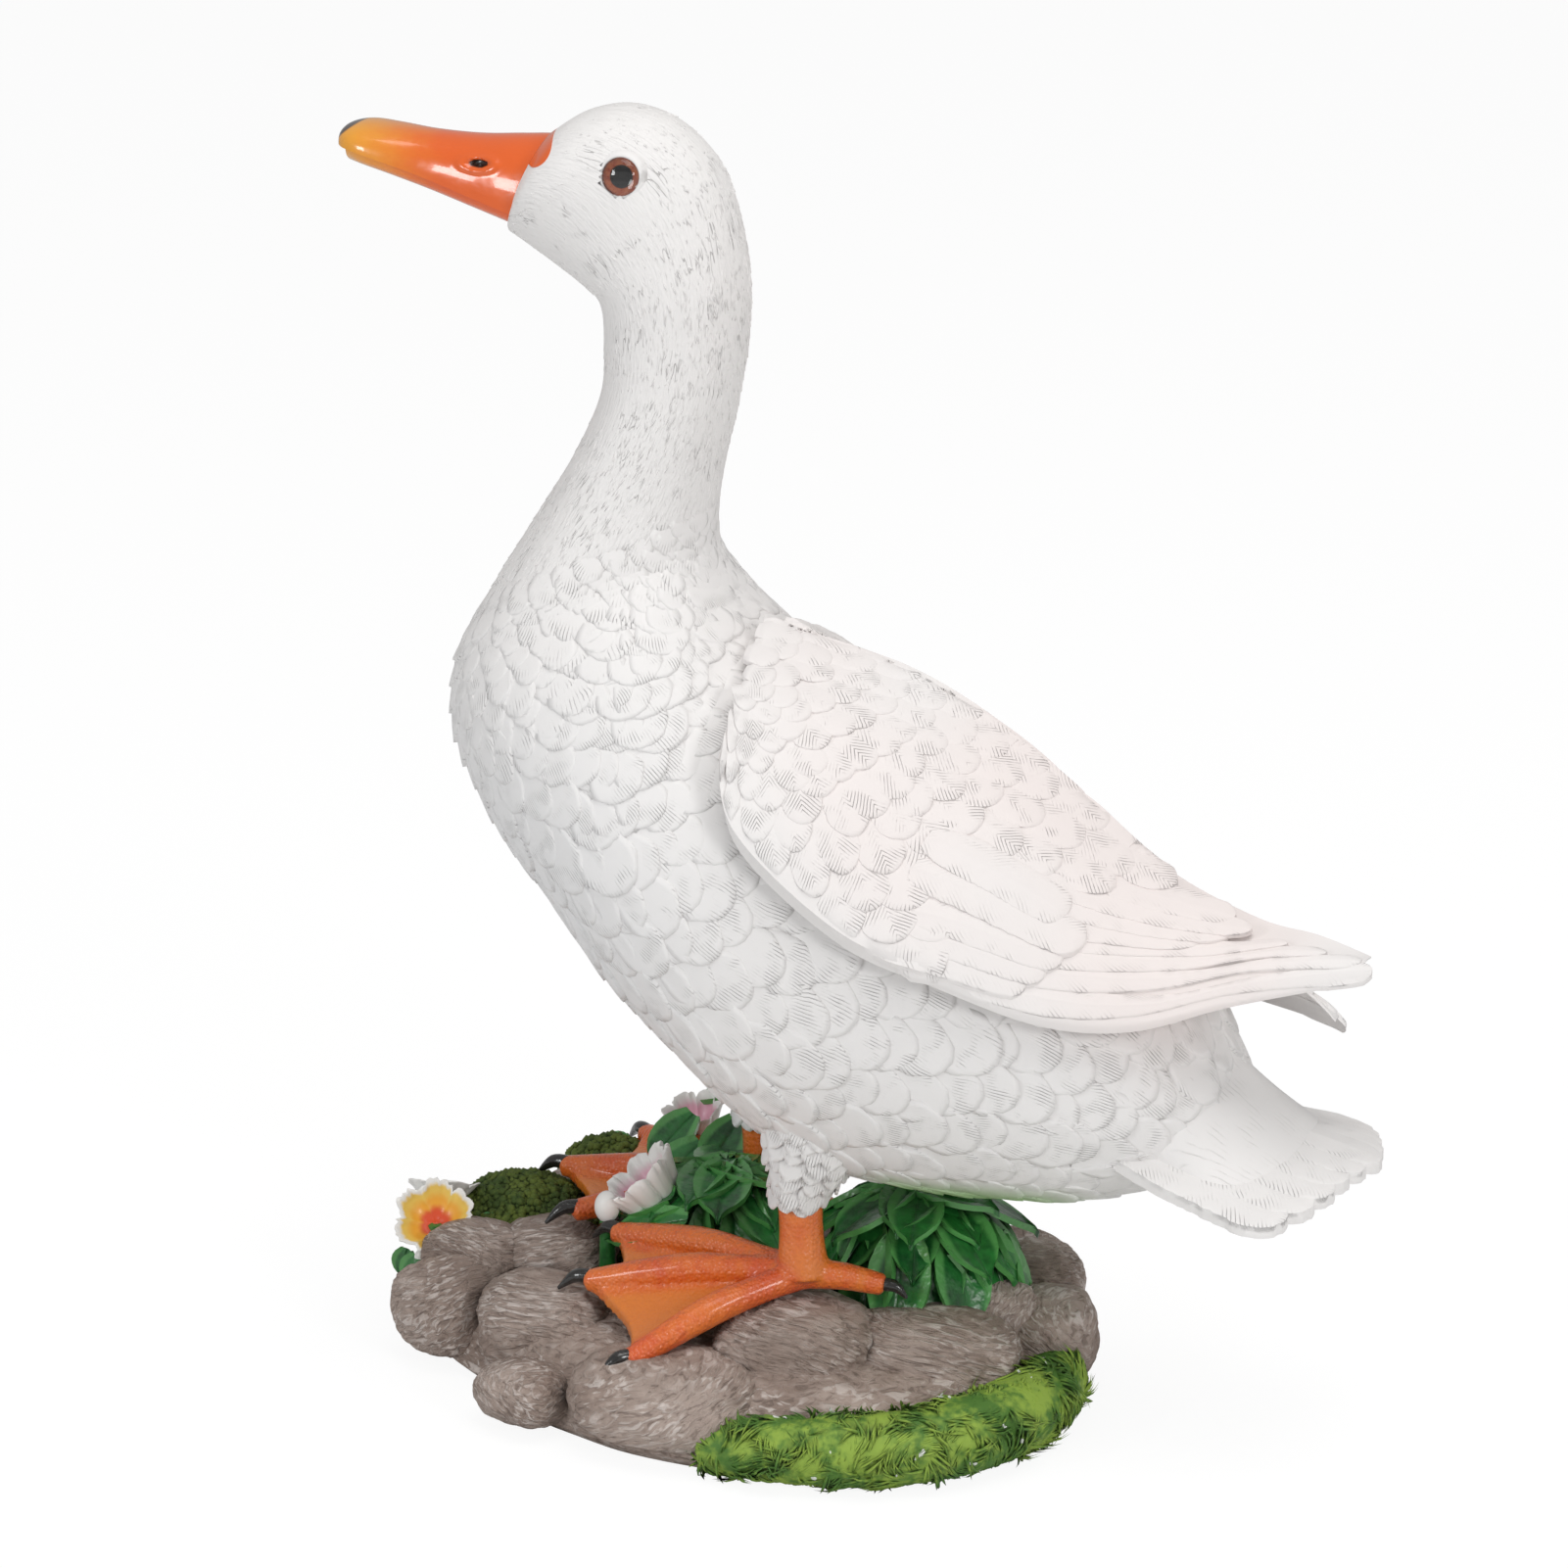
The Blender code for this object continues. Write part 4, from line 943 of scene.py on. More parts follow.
def wing_point(side, across, along, lift=0.0):
    """A point of one wing's surface."""
    upper_x, upper_z, upper_out = spline(WING_UPPER, along)
    lower_x, lower_z, lower_out = spline(WING_LOWER, along)
    half = BODY_WIDTH / 2
    upper = Vector((upper_x, upper_out * half, upper_z))
    chord = Vector((lower_x, lower_out * half, lower_z)) - upper
    outward = Vector((0.0, -chord.z, chord.y)).normalized()
    rounding = min(1.0, max(0.0, along) / 0.22)
    bulge = (SHOULDER_BULGE + (WING_BULGE - SHOULDER_BULGE) * rounding) * (1.0 - 0.8 * along)
    bulge *= sin(pi * min(1.0, max(0.0, across)) ** WING_BULGE_LOWNESS) ** 0.85
    place = upper + chord * across + outward * (bulge + lift + WING_LIFT)
    if side < 0:
        return on_duck(place.x, -place.y, place.z)
    droop = RIGHT_WING_DROOP * max(0.0, along) ** 3
    sag = RIGHT_WING_SAG * (1.0 - along ** 2) * min(1.0, 0.4 + 5.0 * max(0.0, along))
    return on_duck(place.x - 0.55 * droop, place.y + 0.3 * droop, place.z - droop - sag)


def make_wing_shield(side):
    """The closed shield that the wing's feathers lie on."""
    columns, rows = 26, 60
    rings = []
    for i in range(rows + 1):
        along = 0.97 * i / rows
        depth = WING_THICKNESS + (WING_TIP_THICKNESS - WING_THICKNESS) * along
        sunk = -0.4 - 2.1 * max(0.0, 1.0 - 8.0 * along) - 1.8 * smooth(along, 0.34, 0.46)
        outer = [wing_point(side, j / columns, along, sunk) for j in range(columns + 1)]
        inner = [wing_point(side, j / columns, along, -depth) for j in range(columns, -1, -1)]
        rings.append(outer + inner)
    made = loft(SIDES[side] + "_wing_shield", rings, WING_PAINT, 60.0)
    fill(made, strand=0.5, tip=0.0)
    return made


for wing_side in SIDES:
    hand_over(make_wing_shield(wing_side))

# %% [markdown]
# The long wing feathers are too big and too curved to be copies of one shape. Each is lofted over the wing
# surface from a root to a tip: its shaft stands up, its edges are slightly ragged and its cut lines slant
# from the shaft to the rim. They are laid in layers, the lowest first.

# %% Long feathers
SHAFT_RISE = 0.16
BARB_PITCH = 1.5
BARB_SLANT = 1.1
QUILL_THICKNESS = 1.5
# body: shares of the width from root to tip; show: where the cut lines begin, None for near the tip alone
QUILL = {
    "body": (0.60, 0.88, 0.98, 1.0, 1.0, 1.0, 0.97, 0.88),
    "round_from": 0.92,
    "rows": 40,
    "stations": (-1.0, -0.93, -0.8, -0.55, -0.3, -0.09, 0.0, 0.09, 0.3, 0.55, 0.8, 0.93, 1.0),
    "slope": 0.0,
    "show": 0.36,
}
# (root across, root along, tip across, tip along, width, lift), from the lowest layer up
WING_QUILLS = (
    (0.97, 0.40, 0.78, 0.985, 10.0, -1.7),
    (0.92, 0.40, 0.50, 0.965, 11.0, -1.2),
    (0.86, 0.40, 0.34, 0.91, 11.5, -0.75),
    (0.79, 0.40, 0.27, 0.84, 12.0, -0.3),
    (0.97, 0.34, 0.90, 0.535, 9.5, -0.5),
    (0.91, 0.34, 0.83, 0.55, 9.5, 0.0),
    (0.84, 0.34, 0.75, 0.56, 10.0, 0.45),
    (0.74, 0.36, 0.38, 0.70, 13.5, 0.3),
    (0.64, 0.36, 0.28, 0.725, 13.5, 0.75),
    (0.55, 0.36, 0.18, 0.745, 13.5, 1.2),
    (0.70, 0.33, 0.64, 0.572, 13.0, 1.2),
    (0.44, 0.36, 0.12, 0.70, 14.0, 1.6),
    (0.58, 0.32, 0.55, 0.53, 13.5, 1.6),
)


def add_quill(shell, marks, surface, root, tip, width, lift, thickness, draw, body, round_from, rows,
              stations, slope, show):
    """Loft one feather over a surface(across, along, lift); sizes are in millimetres."""
    step = 0.01
    top_rows, low_rows = [], []
    ran = 0.0
    before = None
    ragged = [draw.uniform(-0.03, 0.03) for _ in range(2 * (rows + 1))]
    for i in range(rows + 1):
        t = 1.0 - (1.0 - i / rows) ** 1.35
        c, a = root[0] + (tip[0] - root[0]) * t, root[1] + (tip[1] - root[1]) * t
        centre = surface(c, a, 0.0)
        ran += (centre - (before or centre)).length / MM
        before = centre
        by_c = (surface(c + step, a, 0.0) - surface(c - step, a, 0.0)) / (2 * step)
        by_a = (surface(c, a + step, 0.0) - surface(c, a - step, 0.0)) / (2 * step)
        ahead = (by_c * (tip[0] - root[0]) + by_a * (tip[1] - root[1])).normalized()
        facing = by_a.cross(by_c).normalized()
        if facing.dot(surface(c, a, 1.0) - centre) < 0:
            facing = -facing
        out = facing.cross(ahead).normalized()
        half = width / 2 * value_at(body, t)
        if t > round_from:
            half *= max(0.04, 1.0 - ((t - round_from) / (1.0 - round_from)) ** 2) ** 0.5
        top, low = [], []
        for s in stations:
            shift = out * s * half * (1.0 + ragged[2 * i + (s > 0)] * (abs(s) > 0.95)) * MM
            cc = c + shift.dot(by_c) / by_c.length_squared
            aa = a + shift.dot(by_a) / by_a.length_squared
            rise = lift - slope * (1.0 - t) - 1.2 * max(0.0, 1.0 - 4.0 * t) + 0.18 * (1.0 - s * s)
            rise += SHAFT_RISE * exp(-(s / 0.09) ** 2) * (1.0 - 0.7 * t) - 0.12 * (abs(s) > 0.95)
            rise -= 0.5 * max(0.0, 25.0 * t - 24.0)
            top.append(shell.verts.new(surface(cc, aa, rise)))
            low.append(surface(cc, aa, rise - thickness))
            strand = (ran - abs(s) * half * BARB_SLANT) / BARB_PITCH + (0.0 if s < 0 else 0.37)
            marks.append((strand, t if show is None else show + 0.3 * s * s))
        top_rows.append(top)
        low_rows.append([shell.verts.new(point) for point in low])
        marks += [(0.5, 0.0)] * len(low)
    for rows_of_side in (top_rows, low_rows):
        for near, far in zip(rows_of_side, rows_of_side[1:]):
            add_strip(shell, near, far)
    for end in (0, -1):
        add_strip(shell, top_rows[end], low_rows[end])
        add_strip(shell, [row[end] for row in top_rows], [row[end] for row in low_rows])


def finish_feathers(name, shell, marks, sharp=50.0):
    """The lofted feathers as one object, with the strand number and the share to the tip of each point."""
    made = to_object(name, shell, WING_PAINT, sharp)
    strands, tips = zip(*marks)
    store(made.data, "strand", strands)
    store(made.data, "tip", tips)
    return made


def make_wing_quills(side):
    draw = random.Random(31 + side)
    shell, marks = bmesh.new(), []
    for root_across, root_along, tip_across, tip_along, width, lift in WING_QUILLS:
        add_quill(shell, marks, lambda c, a, l: wing_point(side, c, a, l), (root_across, root_along),
                  (tip_across, tip_along), width, lift, QUILL_THICKNESS, draw, **QUILL)
    return finish_feathers(SIDES[side] + "_wing_long_feathers", shell, marks)


for wing_side in SIDES:
    hand_over(make_wing_quills(wing_side))

# %% [markdown]
# Over the roots of the long feathers lie the coverts: small round ones at the shoulder, longer ones in the
# middle of the wing and broad soft ones along the back. A stiff copy would stand off the curved wing, so
# each is lofted over it with the same function, only with fewer rows. Below, they hang more steeply.

# %% Coverts
COVERT = {
    "body": (0.66, 0.88, 1.0, 1.0, 1.0, 0.97, 0.92),
    "round_from": 0.70,
    "rows": 13,
    "stations": (-1.0, -0.9, -0.5, 0.0, 0.5, 0.9, 1.0),
    "show": None,
}
COVERT_SLOPE = 1.7
COVERT_THICKNESS = 1.6
COVERT_HANG = 0.17
WING_LENGTH = 190.0
# (tip along, width, length, how far down the wing the row reaches)
COVERT_TIERS = (
    (0.055, 8.5, 13.0, 1.0),
    (0.090, 8.5, 13.5, 1.0),
    (0.128, 9.0, 14.0, 1.0),
    (0.168, 9.5, 15.5, 1.0),
    (0.212, 10.0, 17.0, 1.0),
    (0.258, 10.5, 18.5, 1.0),
    (0.308, 11.5, 21.0, 1.0),
    (0.362, 12.0, 23.0, 1.0),
    (0.422, 12.5, 25.0, 0.98),
    (0.482, 13.0, 26.0, 0.58),
    (0.545, 13.5, 28.0, 0.40),
    (0.610, 13.5, 28.0, 0.27),
)


def covert_surface(side, across, along, lift):
    """The padded wing, rolled down past its upper and lower edge and drawn out before its shoulder."""
    past = max(0.0, across - 0.985)
    inside = min(max(across, 0.02), 0.985) + 0.45 * past
    lift += mantle_pad(inside, along) + 70.0 * min(across - 0.02, 0.0) - 58.0 * past
    if along >= 0.0:
        return wing_point(side, inside, along, lift)
    start = wing_point(side, inside, 0.0, lift)
    return start + (wing_point(side, inside, 0.02, lift) - start) * (along / 0.02)


def make_coverts(side):
    draw = random.Random(17 + side)
    shell, marks = bmesh.new(), []
    for number, (tip_along, width, length, reach) in enumerate(COVERT_TIERS):
        girth = sum((wing_point(side, (k + 1) / 20, tip_along) - wing_point(side, k / 20, tip_along)).length
                    for k in range(20)) / MM
        count = max(3, round(girth / (width * 0.86)))
        for i in range(count + 2):
            across = (i + 0.5 * (number % 2)) / count
            if across > reach + (0.35 / count if reach >= 0.98 else 0.02):
                continue
            across += draw.uniform(-0.14, 0.14) / count
            end = tip_along + draw.uniform(-0.012, 0.012)
            steep = smooth(across, 0.35, 0.85)
            soft = 0.45 + 0.55 * smooth(across, 0.10, 0.45)
            root = (max(0.03, across - COVERT_HANG * steep),
                    end - length / WING_LENGTH * (1.0 - 0.3 * steep))
            add_quill(shell, marks, lambda c, a, l: covert_surface(side, c, a, l), root, (across, end),
                      width * draw.uniform(1.12, 1.3), 0.15 + 0.35 * soft, COVERT_THICKNESS, draw,
                      slope=COVERT_SLOPE * soft, **COVERT)
    return finish_feathers(SIDES[side] + "_wing_coverts", shell, marks)


for wing_side in SIDES:
    hand_over(make_coverts(wing_side))

# %% [markdown]
# The tail is a low fan. Its feathers are lofted like the wing's, over a sheet that widens from the rump and
# falls a little to each side, and the middle feather lies on top. A soft wedge closes the step between the
# rump and the fan, and sinks into the feathers towards their tips.

# %% Tail
TAIL_ROOT = (112.0, 53.0)
TAIL_ROOT_SPREAD = 52.0
TAIL_CAMBER = 3.0
TAIL_MIDDLE_TIP = (181.0, 46.0)
TAIL_SIDE_TIP = (163.0, 41.5)
TAIL_SPREAD = 92.0
TAIL_FEATHERS = 11
TAIL_FEATHER_WIDTH = 15.5
TAIL_THICKNESS = 3.2
TAIL_BODY = (0.70, 0.86, 0.96, 1.0, 1.0, 1.0, 1.0, 0.96)
TAIL_QUILL = {**QUILL, "body": TAIL_BODY, "round_from": 0.91, "show": 0.42}
TAIL_WEDGE = 53.0


def tail_point(across, along, lift=0.0):
    """A point of the tail sheet: across from -1 (left) to 1, along from the rump (0) to the tips (1)."""
    stack = 1.0 - abs(across)
    root = Vector((TAIL_ROOT[0], across * TAIL_ROOT_SPREAD / 2, TAIL_ROOT[1] + TAIL_CAMBER * stack))
    tip_x, tip_z = (middle + (side - middle) * across ** 2
                    for middle, side in zip(TAIL_MIDDLE_TIP, TAIL_SIDE_TIP))
    tip = Vector((tip_x, across * TAIL_SPREAD / 2, tip_z))
    place = root + (tip - root) * along
    place.z += TAIL_CAMBER * stack * sin(pi * min(1.0, max(0.0, along)))
    return on_duck(place.x, place.y, place.z + lift)


def make_tail():
    draw = random.Random(77)
    shell, marks = bmesh.new(), []
    order = sorted(range(TAIL_FEATHERS), key=lambda i: -abs(i - (TAIL_FEATHERS - 1) / 2))
    for layer, i in enumerate(order):
        across = (2.0 * i / (TAIL_FEATHERS - 1) - 1.0) * 0.94
        add_quill(shell, marks, tail_point, (across, -0.1), (across, 1.0 + draw.uniform(-0.02, 0.02)),
                  TAIL_FEATHER_WIDTH, -0.3 + 0.16 * layer, TAIL_THICKNESS, draw, **TAIL_QUILL)
    return finish_feathers("tail_feathers", shell, marks)


def make_tail_root():
    """The soft wedge in which the rump runs out over the tail."""
    rings = []
    for k in range(33):
        t = k / 32
        ring = []
        for j in range(64):
            turn = 2 * pi * j / 64
            hump = TAIL_WEDGE * (1.0 - t) ** 1.63 * max(0.0, sin(turn)) ** 1.1
            rise = hump if j < 33 else 3.0 * sin(turn)
            ring.append(tail_point(0.93 * cos(turn), t - 0.08, rise - 0.2 - 2.2 * t))
        rings.append(ring)
    made = loft("tail_root", rings, WING_PAINT, 70.0)
    store(made.data, "strand", [v.co.y / MM * 0.6 + 0.5 for v in made.data.vertices])
    fill(made, tip=0.5)
    return made


hand_over(make_tail())
hand_over(make_tail_root())

# %% [markdown]
# The bill is a loft of vertical sections with a rounded roof over a flat lip. The upper half overhangs the
# lower one, a dark nail sits on the tip, and each nostril is a slot in a raised rim, painted near-black as
# the shade inside it. The paint is glossy and runs from orange-red at the face to amber at the tip.

# %% Bill
BILL_LENGTH = 63.0
BILL_WIDTH = 27.0
# (share of the length, culmen height, lip height, share of the width)
BILL_SECTIONS = (
    (-0.14, 311.0, 287.5, 0.84),
    (0.0, 312.6, 289.5, 1.0),
    (0.16, 312.2, 292.6, 1.0),
    (0.36, 311.5, 296.4, 0.89),
    (0.57, 311.9, 300.6, 0.84),
    (0.75, 313.0, 304.2, 0.93),
    (0.88, 313.6, 306.4, 0.91),
    (0.96, 312.6, 307.4, 0.70),
    (1.0, 310.4, 308.6, 0.28),
)
JAW_SETBACK = 1.2
JAW_DEPTH = 5.2
NOSTRIL = (0.30, 305.0)
NOSTRIL_LENGTH = 7.5
NOSTRIL_HEIGHT = 2.6
BILL_AMBER = (0.80, 0.36, 0.030)
NAIL_BROWN = (0.030, 0.012, 0.008)
NAIL_SLANT = 0.86
NAIL_LINE = 0.4474
NAIL_SOFTNESS = 0.0005
NOSTRIL_SHADE_BLACK = (0.012, 0.007, 0.005)


def bill_x(share):
    return HEAD_SECTIONS[0][0] - BILL_LENGTH * share


def nostril_relief(x, z):
    """How far the bill's side stands out round the nostril, in millimetres, and how much painted shade fills
    the slot.
    """
    far = ((x - bill_x(NOSTRIL[0])) / (NOSTRIL_LENGTH / 2)) ** 2
    far += ((z - NOSTRIL[1]) / (NOSTRIL_HEIGHT / 2)) ** 2
    rim = 0.75 * exp(-((far ** 0.5 - 1.35) / 0.42) ** 2)
    return rim - 1.5 * exp(-(far / 0.55) ** 2), exp(-(far / 0.62) ** 3)


def arch(columns, power):
    """Turns of a half circle with the share of the height reached at each."""
    turns = [pi * j / (columns - 1) for j in range(columns)]
    return [(turn, sin(turn) ** power if 0 < j < columns - 1 else 0.0) for j, turn in enumerate(turns)]


def make_upper_bill(material):
    rows = 110
    rings, painted_shade = [], []
    for i in range(rows + 1):
        share, culmen, lip, width = spline(BILL_SECTIONS, i / rows)
        half = BILL_WIDTH * max(width, 0.05) / 2
        ring = []
        for turn, roof in arch(64, 0.8):
            y = half * cos(turn)
            z = lip + (culmen - lip) * roof
            out, slot = nostril_relief(bill_x(share), z)
            ring.append(on_duck(bill_x(share), y + (1 if y > 0 else -1) * out * (roof < 0.97), z))
            painted_shade.append(slot)
        rings.append(ring + [on_duck(bill_x(share), side * half * 0.8, lip - 0.7) for side in SIDES])
        painted_shade += [0.0, 0.0]
    made = loft("upper_bill", rings, material, 60.0)
    store(made.data, "slot", painted_shade)
    return made


def make_lower_bill(material):
    rows = 70
    rings = []
    for i in range(rows + 1):
        share, _, lip, width = spline(BILL_SECTIONS[:-1], i / rows)
        half = BILL_WIDTH * width / 2 - JAW_SETBACK
        x = bill_x(share) + JAW_SETBACK
        rings.append([on_duck(x, half * cos(turn), lip + 0.6 - (JAW_DEPTH + 0.6) * hang)
                      for turn, hang in arch(30, 0.6)])
    made = loft("lower_bill", rings, material, 60.0)
    fill(made, slot=0.0)
    return made


def bill_paint():
    paint = Paint("bill_gloss", 0.26, coat=0.6, coat_roughness=0.06)
    place = paint.place()
    x, _, z = place.parts()
    amber = (x + paint.speckle(45.0) * 0.022).ramp(bill_x(0.25) * MM, bill_x(0.85) * MM)
    colour = amber.mix(BILL_ORANGE, BILL_AMBER)
    nail = (z - x * NAIL_SLANT).ramp(NAIL_LINE - NAIL_SOFTNESS, NAIL_LINE + NAIL_SOFTNESS)
    colour = nail.mix(colour, NAIL_BROWN)
    # Painted shade: near-black inside each nostril slot.
    colour = paint.attribute("slot").ramp(0.25, 0.6).mix(colour, NOSTRIL_SHADE_BLACK)
    return paint.finish(colour, place.noise(260.0), 0.00012)


BILL_PAINT = bill_paint()
for bill_piece in (make_upper_bill(BILL_PAINT), make_lower_bill(BILL_PAINT)):
    hand_over(bill_piece)

# %% [markdown]
# The eyes are glass: a clear dome over a painted disc with a black pupil and a red-brown iris. Each sits
# in a raised white lid. Modelling the dome and the disc apart gives the depth and the highlights of glass.

# %% Eyes
EYE_DIAMETER = 10.5
EYE_DOME = 2.6
EYE_SINK = 0.6
SOCKET_RADIUS = 5.6
DISC_SHARE = 0.9
# (outside the glass, height) round the lid
LID_PROFILE = ((-0.15, -1.8), (-0.12, 0.25), (0.1, 0.6), (0.45, 0.65), (0.9, 0.3), (1.9, -0.7), (1.9, -3.0))


def turned(name, profile, place, material, sharp=50.0):
    """A solid of revolution about its own Z, moved to its place."""
    steps = 64
    rings = []
    for r, z in profile:
        turns = [2 * pi * k / steps for k in range(steps)] if r > 1e-6 else [0.0]
        rings.append([place @ mm(r * cos(turn), r * sin(turn), z) for turn in turns])
    return loft(name, rings, material, sharp)


def eye_place(side):
    """The frame of one eye, seated on the skin nearest to its stated place."""
    mesh = CORE.data
    skin = BVHTree.FromPolygons([v.co for v in mesh.vertices], [p.vertices for p in mesh.polygons])
    place, normal, _, _ = skin.find_nearest(on_duck(EYE_X, side * HEAD_WIDTH / 2, EYE_HEIGHT))
    outward = (normal + Vector((0, side * 1.5, 0))).normalized()
    turn = outward.to_track_quat("Z", "Y").to_matrix().to_4x4()
    return Matrix.Translation(place - outward * EYE_SINK * MM) @ turn


def open_socket(matrix):
    """Take out the skin behind the glass; the lid covers the rim of the opening."""
    shell = bmesh.new()
    shell.from_mesh(CORE.data)
    inverse = matrix.inverted()
    places = {face: inverse @ face.calc_center_median() for face in shell.faces}
    gone = [face for face, at in places.items() if at.xy.length < SOCKET_RADIUS * MM and abs(at.z) < 7 * MM]
    bmesh.ops.delete(shell, geom=gone, context="FACES")
    shell.to_mesh(CORE.data)
    shell.free()


def glass_paint():
    paint = Paint("eye_clear_glass", 0.02)
    paint.put("Transmission Weight", 1.0)
    paint.put("IOR", 1.42)
    return paint.finish((1.0, 1.0, 1.0))


def iris_paint():
    paint = Paint("iris", 0.5, specular=0.1)
    ring = paint.attribute("ring")
    brown = paint.speckle(900.0).ramp(0.35, 0.65).mix((0.24, 0.040, 0.015), (0.36, 0.10, 0.035))
    colour = ring.ramp(0.84, 0.98).mix(brown, (0.05, 0.012, 0.008))
    return paint.finish(ring.ramp(0.56, 0.62).mix((0.003, 0.002, 0.002), colour))


def make_eye(name, matrix):
    """The glass, the disc behind it and the lid round it."""
    radius = EYE_DIAMETER / 2
    turns = [step * pi / 28 for step in range(1, 14)]
    dome = [(0.0, EYE_DOME)] + [(radius * sin(turn), EYE_DOME * cos(turn)) for turn in turns]
    dome += [(radius, -0.2), (radius * 0.9, -1.1), (0.0, -1.15)]
    hand_over(turned(name + "_glass", dome, matrix, GLASS), name)
    rim = radius * DISC_SHARE
    disc = [(rim * k / 12, -1.2) for k in range(13)] + [(rim, -2.6), (0.0, -2.6)]
    iris = turned(name + "_iris", disc, matrix, IRIS)
    inverse = matrix.inverted()
    store(iris.data, "ring", [(inverse @ v.co).xy.length / (rim * MM) for v in iris.data.vertices])
    hand_over(iris, name)
    lid = [(radius + out, z) for out, z in LID_PROFILE]
    hand_over(turned(name + "_lid", lid, matrix, HAIR_PAINT, 70.0))


GLASS = glass_paint()
IRIS = iris_paint()
eye_frames = {side: eye_place(side) for side in SIDES}
for matrix in eye_frames.values():
    open_socket(matrix)
hand_over(CORE)
for side, matrix in eye_frames.items():
    make_eye(SIDES[side] + "_eye", matrix)

# %% [markdown]
# The feet are the softest forms of the casting: thick toes with webs between them that melt into each
# other. Rods and a web are first laid through one another, then a voxel remesh makes one skin of them and
# a smoothing pass rounds the joints, as clay would be. The skin is pebbled and the claws are glossy black.

# %% Legs and feet
STANCE = 60.0
ANKLE_X = {-1: 27.0, 1: -6.0}
ANKLE_HEIGHT = 4.5
SHANK_DIAMETER = 13.5
THIGH_WIDTH = 34.0
THIGH_DROP = 24.0
# (heading in degrees, length, drop) of each front toe
TOES = {
    -1: ((-17.0, 66.0, 3.0), (6.0, 62.0, 8.0), (43.0, 52.0, 18.0)),
    1: ((-33.0, 56.0, 2.0), (3.0, 64.0, 2.0), (36.0, 64.0, 2.0)),
}
TOE_DIAMETER = 9.0
HIND_TOE_LENGTH = 22.0
WEB_THICKNESS = 2.6
WEB_SAG = 2.6
CLAW_LENGTH = 7.0
CLAW_DIAMETER = 4.4
SKIN_VOXEL = 0.75


def smooth_run(points, count=12):
    return [Vector(spline(points, k / count)) for k in range(count + 1)]


def run_of(values, count=12):
    return [value_at(values, k / count) for k in range(count + 1)]


def add_rod(shell, points, radii, sides=16):
    """A rounded rod through the points, with its own radius at each."""
    rings = []
    for i, point in enumerate(points):
        ahead = (points[min(i + 1, len(points) - 1)] - points[max(i - 1, 0)]).normalized()
        turn = ahead.to_track_quat("Z", "Y").to_matrix()
        circle = [Vector((cos(2 * pi * j / sides), sin(2 * pi * j / sides), 0)) for j in range(sides)]
        rings.append([point + turn @ spot * radii[i] * MM for spot in circle])
    first = points[0] - (points[1] - points[0]).normalized() * radii[0] * 0.5 * MM
    last = points[-1] + (points[-1] - points[-2]).normalized() * radii[-1] * 0.5 * MM
    add_loft(shell, [[first], *rings, [last]])


def melt(made, rounds):
    """One smooth skin round everything in an object."""
    skin = made.modifiers.new("skin", "REMESH")
    skin.mode = "VOXEL"
    skin.voxel_size = SKIN_VOXEL * MM
    skin.use_smooth_shade = True
    soft = made.modifiers.new("soft", "SMOOTH")
    soft.factor, soft.iterations = 0.5, rounds
    make_plain(made).data.shade_smooth()


def add_toe(shell, claws, ankle, end, ahead):
    """A front toe with its claw; returns the points of its ridge."""
    line = [ankle, ankle + (end - ankle) * 0.25 + mm(0, 0, 1.6),
            ankle + (end - ankle) * 0.55 + mm(0, 0, 2.6), end]
    add_rod(shell, smooth_run(line), run_of([TOE_DIAMETER / share for share in (2, 2.2, 2, 2.8)]))
    base = end - ahead * 1.5 * MM + mm(0, 0, 1.2)
    tip = end + ahead * (CLAW_LENGTH + 1.5) * MM - mm(0, 0, 3.0)
    add_rod(claws, smooth_run([base, (base + tip) / 2 + mm(0, 0, 2.0), tip]),
            run_of([CLAW_DIAMETER / 2, CLAW_DIAMETER / 2.3, 0.5]), 12)
    return smooth_run(line, 40)


def add_web(shell, ankle, a, b):
    """Skin between two toes as small slabs, hollow at the rim and sagging in the middle."""
    strips, parts = 14, 8
    rows = []
    for i in range(strips + 1):
        t = i / strips
        rim = (a + (b - a) * t - ankle) * (1.0 - 0.10 * sin(pi * t))
        sag = mm(0, 0, WEB_SAG * sin(pi * t))
        rows.append([ankle + rim * k / parts - sag * k / parts for k in range(parts + 1)])
    up = mm(0, 0, WEB_THICKNESS / 2)
    for lower, upper in zip(rows, rows[1:]):
        for k in range(parts):
            corners = [lower[k], lower[k + 1], upper[k + 1], upper[k]]
            add_loft(shell, [[c + up for c in corners], [c - up * 2 for c in corners]])


